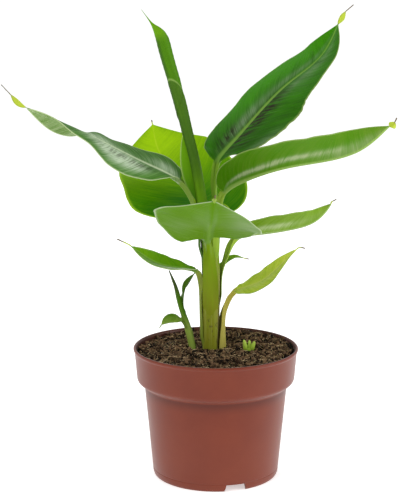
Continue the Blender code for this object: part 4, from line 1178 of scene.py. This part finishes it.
def pot_material():
    """Dyed plastic: shaded under the collar and inside, and a little paler towards the foot."""
    made, tree = new_material("terracotta_plastic")
    place = node(tree, "TexCoord").outputs["Object"]
    band, inner, height = layer(tree, "tone")[:3]
    mottle = cloud(tree, place, 38.0, 4.0, 0.6)
    grain = cloud(tree, place, 2600.0, 2.0, 0.6)
    colour = blend(tree, scaled(tree, mottle, 0.3, 0.7), rgb(0.165, 0.026, 0.010), rgb(0.182, 0.031, 0.012))
    colour = blend(tree, times(tree, band, 0.6), colour, rgb(0.07, 0.012, 0.007))
    colour = blend(tree, times(tree, inner, 0.7), colour, rgb(0.05, 0.016, 0.009))
    colour = blend(tree, times(tree, scaled(tree, height, 5.0, 62.0, 1.0, 0.0), 0.2), colour,
                   rgb(0.26, 0.07, 0.04))
    rough = scaled(tree, mottle, 0.3, 0.7, 0.36, 0.44)
    finish_material(tree, colour, rough, grain, 0.12, 0.0001, Specular_IOR_Level=0.28,
                    Sheen_Weight=0.16, Sheen_Roughness=0.4)
    return made


def soil_material(name, dark, mid, light, low=0.35, high=0.75):
    """Peat: dark, brown and tan by noise of two sizes and by each crumb's own random number."""
    made, tree = new_material(name)
    place = node(tree, "TexCoord").outputs["Object"]
    pick, other = layer(tree, "tone")[:2]
    broad = cloud(tree, place, 90.0, 4.0, 0.6)
    fine = cloud(tree, place, 1100.0, 3.0, 0.65)
    shade = plus(tree, broad, times(tree, minus(tree, other, 0.5), 0.5))
    colour = blend(tree, scaled(tree, shade, low, high), rgb(*dark), rgb(*mid))
    lit = plus(tree, fine, times(tree, pick, 0.5))
    colour = blend(tree, scaled(tree, lit, 0.62, 1.0), colour, rgb(*light))
    rough = scaled(tree, fine, 0.3, 0.7, 0.75, 0.98)
    finish_material(tree, colour, rough, fine, 0.8, 0.0005, Specular_IOR_Level=0.1)
    return made


print("node groups:", ", ".join(g.name for g in bpy.data.node_groups))

# %% [markdown]
# ## Dressing the plant
#
# Each leaf gets its own greens and spots. Upright leaves turn their upper side to the viewer, and the ones
# that hang towards the viewer show their underside, which is paler. The silvery spots on both are a painted
# sheen, a highlight laid into the colour.

# %% Greens and spots of each leaf
# The sheen colour is the colour of a highlight that is painted into each leaf.
UPPER = {"Deep": (0.018, 0.078, 0.004), "Bright": (0.05, 0.18, 0.0015), "Under Deep": (0.1, 0.21, 0.03),
         "Under Bright": (0.18, 0.34, 0.05), "Painted Sheen": (0.17, 0.26, 0.13), "Bar": (0.02, 0.02, 0.008),
         "Rib": (0.2, 0.38, 0.06), "Margin": (0.3, 0.42, 0.12)}
PALETTES = {
    "leaf_top_right": {
        **UPPER, "Seed": 1.0, "Deep": (0.02, 0.1, 0.003), "Bright": (0.042, 0.24, 0.001),
        "Stalk Low": (0.16, 0.29, 0.02), "Stalk High": (0.2, 0.36, 0.03)},
    "leaf_right": {
        **UPPER, "Seed": 2.0, "Under Deep": (0.065, 0.22, 0.001), "Under Bright": (0.145, 0.27, 0.022),
        "Streak": 0.65, "Painted Sheen": (0.36, 0.45, 0.22), "Rib": (0.3, 0.46, 0.1),
        "Stalk Low": (0.16, 0.3, 0.01), "Stalk High": (0.26, 0.4, 0.04)},
    "leaf_front": {
        **UPPER, "Seed": 3.0, "Under Deep": (0.09, 0.225, 0.001), "Under Bright": (0.145, 0.28, 0.025),
        "Painted Sheen": (0.28, 0.38, 0.2), "Rib": (0.17, 0.32, 0.05), "Margin": (0.42, 0.52, 0.3),
        "Point": (0.24, 0.36, 0.05)},
    "leaf_lower_right": {
        **UPPER, "Seed": 4.0, "Under Deep": (0.12, 0.25, 0.008), "Under Bright": (0.2, 0.34, 0.025),
        "Painted Sheen": (0.36, 0.47, 0.2), "Rib": (0.32, 0.46, 0.15), "Stalk Low": (0.2, 0.32, 0.02),
        "Stalk High": (0.3, 0.44, 0.05)},
    "leaf_left": {
        **UPPER, "Seed": 5.0, "Deep": (0.035, 0.125, 0.014), "Bright": (0.09, 0.26, 0.02),
        "Painted Sheen": (0.5, 0.62, 0.43), "Margin": (0.55, 0.66, 0.35), "Rib": (0.6, 0.7, 0.45),
        "Under Deep": (0.12, 0.24, 0.04), "Thread": (0.24, 0.22, 0.17), "Under Bright": (0.42, 0.52, 0.27),
        "Stalk Low": (0.05, 0.13, 0.01), "Stalk High": (0.2, 0.32, 0.05), "From": 172.0, "To": 186.0},
    # The bright green of the leaf at the back is painted light: the glow where the lamp behind shines through
    # it.
    "leaf_back": {
        **UPPER, "Seed": 6.0, "Streak": 0.35, "Deep": (0.026, 0.175, 0.001), "Bright": (0.34, 0.6, 0.004),
        "Rib": (0.44, 0.66, 0.02), "Under Deep": (0.1, 0.26, 0.004), "Under Bright": (0.25, 0.5, 0.01),
        "Margin": (0.4, 0.62, 0.03), "Stalk Low": (0.04, 0.1, 0.012), "Stalk High": (0.1, 0.2, 0.02)},
    "leaf_left_small": {
        **UPPER, "Seed": 7.0, "Deep": (0.07, 0.23, 0.002), "Bright": (0.16, 0.34, 0.005),
        "Painted Sheen": (0.5, 0.58, 0.42), "Margin": (0.5, 0.6, 0.3), "Stalk Low": (0.2, 0.26, 0.03),
        "Stalk High": (0.3, 0.36, 0.07)},
    "leaf_right_small": {
        **UPPER, "Seed": 8.0, "Deep": (0.35, 0.53, 0.012), "Bright": (0.56, 0.65, 0.06),
        "Under Deep": (0.34, 0.5, 0.02), "Under Bright": (0.56, 0.65, 0.08), "Painted Sheen": (0.6, 0.68, 0.22),
        "Rib": (0.6, 0.66, 0.15), "Stalk Low": (0.42, 0.37, 0.08), "Stalk High": (0.52, 0.48, 0.05)},
    "leaf_back_small": {
        **UPPER, "Seed": 9.0, "Deep": (0.16, 0.34, 0.01), "Bright": (0.26, 0.46, 0.02),
        "Stalk Low": (0.26, 0.4, 0.02), "Stalk High": (0.24, 0.42, 0.02)},
}
# The spots of painted sheen in these tables are highlights painted into the colour.
PAINT = {
    "leaf_top_right": dict(
        face="upper", rib=1.8, edge=0.35,
        bright=(0.3, [(0.6, -0.8, 0.45, 0.45, 0.8), (0.97, -0.2, 0.2, 0.8, 0.5), (0.55, 0.45, 0.3, 0.3, 0.15),
                      (0.2, 0.6, 0.3, 0.4, -0.2), (0.1, -0.2, 0.15, 0.5, -0.2)]),
        painted_sheen=(0.0, [(0.28, -0.22, 0.18, 0.16, 0.55), (0.62, -0.16, 0.3, 0.1, 0.4),
                    (0.18, 0.95, 0.12, 0.14, 0.6), (0.8, 0.35, 0.16, 0.2, 0.35),
                    (0.62, 0.25, 0.12, 0.1, 0.3)]),
        mark=(0.0, [(0.33, 0.16, 0.2, 0.2, 1.5), (0.13, 0.4, 0.08, 0.3, 0.6),
                    (0.17, -0.3, 0.09, 0.16, 1.0)])),
    "leaf_right": dict(
        face="under", rib=1.6, edge=0.25,
        bright=(0.4, [(0.1, 0, 0.2, 1.5, -0.3), (0.6, 0.6, 0.25, 0.4, -0.2), (0.97, 0, 0.08, 1, 0.5)]),
        painted_sheen=(0.0, [(0.15, 0.24, 0.1, 0.06, 1.0), (0.28, 0.2, 0.09, 0.05, 1.2), (0.42, 0.27, 0.1, 0.07, 1.0),
                    (0.6, 0.3, 0.12, 0.1, 0.5), (0.78, 0.12, 0.2, 0.25, 0.35)])),
    "leaf_front": dict(
        face="under", rib=1.1, rib_end=0.3, edge=0.5,
        bright=(0.4, [(0.95, 0, 0.4, 0.5, -0.4), (0.3, 0.3, 0.2, 0.5, 0.15), (0.55, 0.8, 0.35, 0.4, -0.35)]),
        painted_sheen=(0.0, [(0.55, -0.7, 0.35, 0.35, 0.42), (0.3, 0.65, 0.15, 0.3, 0.25)])),
    "leaf_lower_right": dict(
        face="under", rib=1.2, edge=0.45,
        bright=(0.4, [(0.97, 0, 0.1, 1, 0.6)]),
        painted_sheen=(0.0, [(0.34, 0.3, 0.2, 0.14, 1.0), (0.7, 0.3, 0.25, 0.3, 0.15)])),
    "leaf_left": dict(
        face="upper", rib=0.8, edge=0.6,
        bright=(0.3, [(0.9, 0, 0.2, 1, 0.25), (0.3, -0.7, 0.3, 0.3, 0.3)]),
        painted_sheen=(0.02, [(0.42, -0.35, 0.14, 0.34, 1.1), (0.28, -0.45, 0.08, 0.25, 0.6),
                     (0.1, 0.25, 0.1, 0.3, 0.6), (0.55, 0.1, 0.1, 0.4, 0.5)]),
        mark=(0.0, [(0.26, -0.3, 0.14, 0.16, 0.55), (0.44, -0.26, 0.1, 0.16, 0.45)])),
    # The bright spot over its outer part is painted light that shines through the leaf from the lamp behind.
    "leaf_back": dict(
        face="upper", rib=0.5, edge=0.3,
        bright=(0.0, [(0.88, 0, 0.4, 1.6, 1.0), (0.3, 0.6, 0.3, 0.4, 0.06)]),
        painted_sheen=(0.0, [])),
    "leaf_left_small": dict(
        face="upper", rib=0.9, edge=0.45,
        bright=(0.35, [(0.8, 0, 0.3, 1, 0.3)]), painted_sheen=(0.0, [(0.3, -0.6, 0.35, 0.35, 0.95)])),
    "leaf_right_small": dict(
        face="upper", rib=1.0, edge=0.35, bright=(0.5, [(0.9, 0, 0.2, 1, 0.3)]),
        painted_sheen=(0.1, [(0.4, 0.3, 0.4, 0.3, 0.35)])),
    "leaf_back_small": dict(face="upper", rib=0.7, edge=0.25, bright=(0.5, []), painted_sheen=(0.0, [])),
}

# %% Leaves
SMALL = {"leaf_left_small", "leaf_right_small", "leaf_back_small"}
for number, (name, leaf) in enumerate(LEAVES.items()):
    rows, columns = (110, 15) if name in SMALL else (180, 25)
    points, faces, layers = leaf_shell(leaf, rows, columns, stem_centre, number * 1.7, PAINT[name])
    dress(put("fine_" + name, points, faces, layers), leaf_material(name, PALETTES[name]), name)

# %% Stem and rolled leaf
# The stem's Dark colour is painted shade under the leaves, and its Pale colour is partly a painted highlight
# on the right side.
stem_green = stalk_material("stem", {
    "Seed": 3.0, "Low": (0.2, 0.21, 0.013), "High": (0.175, 0.3, 0.008), "Pale": (0.42, 0.42, 0.12),
    "Dark": (0.045, 0.12, 0.012), "Edge": (0.5, 0.5, 0.28), "Fresh": (0.045, 0.028, 0.01),
    "From": 95.0, "To": 185.0})
shell = tube_shell(STEM_PATH, 144, 200, stem_relief, stem_tone)
dress(put("fine_pseudostem", *shell), stem_green, "pseudostem")

spear_green = stalk_material("rolled_leaf", {
    "Seed": 5.0, "Low": (0.12, 0.28, 0.006), "High": (0.068, 0.165, 0.012), "Pale": (0.15, 0.38, 0.002),
    "Dark": (0.035, 0.095, 0.008), "Edge": (0.36, 0.52, 0.14), "Fresh": (0.075, 0.235, 0.002),
    "From": 205.0, "To": 238.0})
spear = tube_shell(SPEAR_PATH, 96, 260, spear_relief, spear_tone)
dress(put("fine_spear_leaf", *joined([spear, wing_shell()])), spear_green, "spear_leaf")

# %% Side shoot and cut shoot
def shoot_relief(degrees, share, z):
    """The rolled blade's edge winds up the shoot as a low step; fine fibres run along it."""
    roll = ((degrees - 900 * share) % 360) / 360
    step = 0.25 * (roll - 0.5) * smooth(share * 4) * smooth((1 - share) * 6)
    return step + 0.05 * noise(degrees / 15.0, z / 20.0, 9)


def plain_tone(degrees, share, z):
    """A dark rolled tip over a green foot."""
    return 0 * z, 0.9 * smooth((z - 128) / 12), 0 * z, 0 * z


def shoot_axis(offset):
    """Centre line of the side shoot, moved sideways by an offset, as a function of the height."""
    axis = np.array(SHOOT_STEM)

    def at(z):
        x, y = (np.interp(z, axis[:, 2], axis[:, c]) for c in (0, 1))
        return np.stack([x + offset, y], 1)

    return at


shoot_green = stalk_material("shoot", {
    "Seed": 2.0, "Low": (0.26, 0.36, 0.06), "High": (0.06, 0.16, 0.003), "Pale": (0.3, 0.42, 0.12),
    "Dark": (0.045, 0.05, 0.02), "Edge": (0.4, 0.5, 0.2), "From": 104.0, "To": 122.0})
shells = [tube_shell(SHOOT_STEM, 40, 120, shoot_relief, plain_tone)]
for number, leaf in enumerate(SHOOT_LEAVES):
    points, faces, layers = leaf_shell(leaf, 50, 7, shoot_axis((0.5, 2.0)[number]), number * 2.0, {})
    vein, rib, margin = layers["place"][:, 2], layers["parts"][:, 0], layers["parts"][:, 1]
    place = np.stack([vein, 0 * vein, np.maximum(points[:, 2], 113.0)], 1)
    tone = np.stack([0.1 * rib, 0 * rib, 0.12 * margin], 1)
    shells.append((points, faces, {"place": place, "tone": tone}))
dress(put("fine_side_shoot", *joined(shells)), shoot_green, "side_shoot")

stub_green = stalk_material("stub", {
    "Seed": 4.0, "Low": (0.12, 0.16, 0.008), "High": (0.34, 0.5, 0.05), "Pale": (0.48, 0.62, 0.12),
    "Dark": (0.06, 0.07, 0.008), "Edge": (0.4, 0.4, 0.2), "From": 92.0, "To": 97.0})
prongs = [tube_shell(path, 28, 50, stub_relief, stub_tone) for path in STUB_PRONGS]
dress(put("fine_cut_shoot", *joined(prongs)), stub_green, "cut_shoot")

# %% Pot and soil
dress(put("fine_pot", *pot_shell()), pot_material(), "pot")
bed = put("fine_soil", *soil_shell())
dress(bed, soil_material("peat", (0.006, 0.004, 0.0025), (0.03, 0.017, 0.009), (0.1, 0.058, 0.03)), "soil")
dress(put("soil_crumbs", *crumb_shell(11, 4600, (0.25, 1.6), 1.8, 0.35)),
      soil_material("peat_crumbs", (0.004, 0.0022, 0.0012), (0.031, 0.016, 0.008), (0.2, 0.12, 0.065),
                    0.42, 0.68))
dress(put("soil_fibres", *fibre_shell(12, 1700)),
      soil_material("fibres", (0.04, 0.022, 0.01), (0.3, 0.18, 0.09), (0.75, 0.55, 0.33), 0.38, 0.6))
dress(put("soil_grains", *crumb_shell(13, 110, (0.3, 0.85), 1.2, 0.6)),
      soil_material("grains", (0.2, 0.16, 0.11), (0.34, 0.28, 0.2), (0.5, 0.44, 0.34)))

# %% [markdown]
# ## Stage, light and camera
#
# The photograph is a cut-out on white. A large white floor and a white surround give the same, with a soft
# contact shadow under the pot. The key light is at the upper left, another fills from the right, and one
# from behind lights the leaf at the back without a gloss of its own. The camera stands a metre away and
# looks down by eleven degrees, where the ellipses of the rim and the foot match.

# %% Floor and lights
FLOOR_RADIUS = 30000.0
FLOOR_Z = -0.05
FLOOR_SIDES = 96
turn = np.linspace(0, 2 * math.pi, FLOOR_SIDES, endpoint=False)
edge = np.stack([FLOOR_RADIUS * np.cos(turn), FLOOR_RADIUS * np.sin(turn), 0 * turn + FLOOR_Z], 1)
disc = np.concatenate([[[0, 0, FLOOR_Z]], edge])
floor = put("floor", disc, [(0, 1 + j, 1 + (j + 1) % FLOOR_SIDES) for j in range(FLOOR_SIDES)])
floor_paint, floor_tree = new_material("floor")
fill(floor_tree, floor_tree.nodes["Principled BSDF"],
     {"Base Color": rgb(0.93, 0.93, 0.93), "Roughness": 0.9, "Specular IOR Level": 0.0,
      "Emission Color": rgb(1, 1, 1), "Emission Strength": 0.5})
floor.data.materials.append(floor_paint)

world = bpy.data.worlds.new("studio")
world.use_nodes = True
fill(world.node_tree, world.node_tree.nodes["Background"], {"Color": rgb(1, 1, 1), "Strength": 0.6})
bpy.context.scene.world = world


def soft_box(name, place, aim, size, power):
    """Square area light at a place in metres, turned to a point, with its power in watts."""
    lamp = bpy.data.lights.new(name, "AREA")
    lamp.size = size
    lamp.energy = power
    obj = bpy.data.objects.new(name, lamp)
    obj.location = place
    away = np.array(place) - np.array(aim)
    obj.rotation_euler = (math.atan2(math.hypot(away[0], away[1]), away[2]), 0,
                          math.atan2(away[1], away[0]) + math.pi / 2)
    bpy.context.scene.collection.objects.link(obj)
    return obj


soft_box("key", (-0.9, -1.1, 1.3), (0, 0, 0.15), 0.9, 8.5)
soft_box("fill", (1.4, -0.5, 0.6), (0, 0, 0.15), 1.0, 9.5)
back_light = soft_box("behind", (-0.3, 1.2, 1.0), (0, 0, 0.2), 0.8, 6.0)
back_light.visible_glossy = False

# %% Camera
CAMERA_PLACE = (-0.0107, -1.0, 0.362)
LOOK_DOWN = 11        # degrees below the level
FOCAL_LENGTH = 102.5
SENSOR_WIDTH = 36.0
lens = bpy.data.cameras.new("camera")
lens.lens = FOCAL_LENGTH
lens.sensor_width = SENSOR_WIDTH
lens.clip_end = 100.0
view = bpy.data.objects.new("camera", lens)
view.location = CAMERA_PLACE
view.rotation_euler = (math.radians(90 - LOOK_DOWN), 0, 0)
bpy.context.scene.collection.objects.link(view)
bpy.context.scene.camera = view
bpy.context.scene.view_settings.view_transform = "Standard"
bpy.context.scene.view_settings.look = "None"
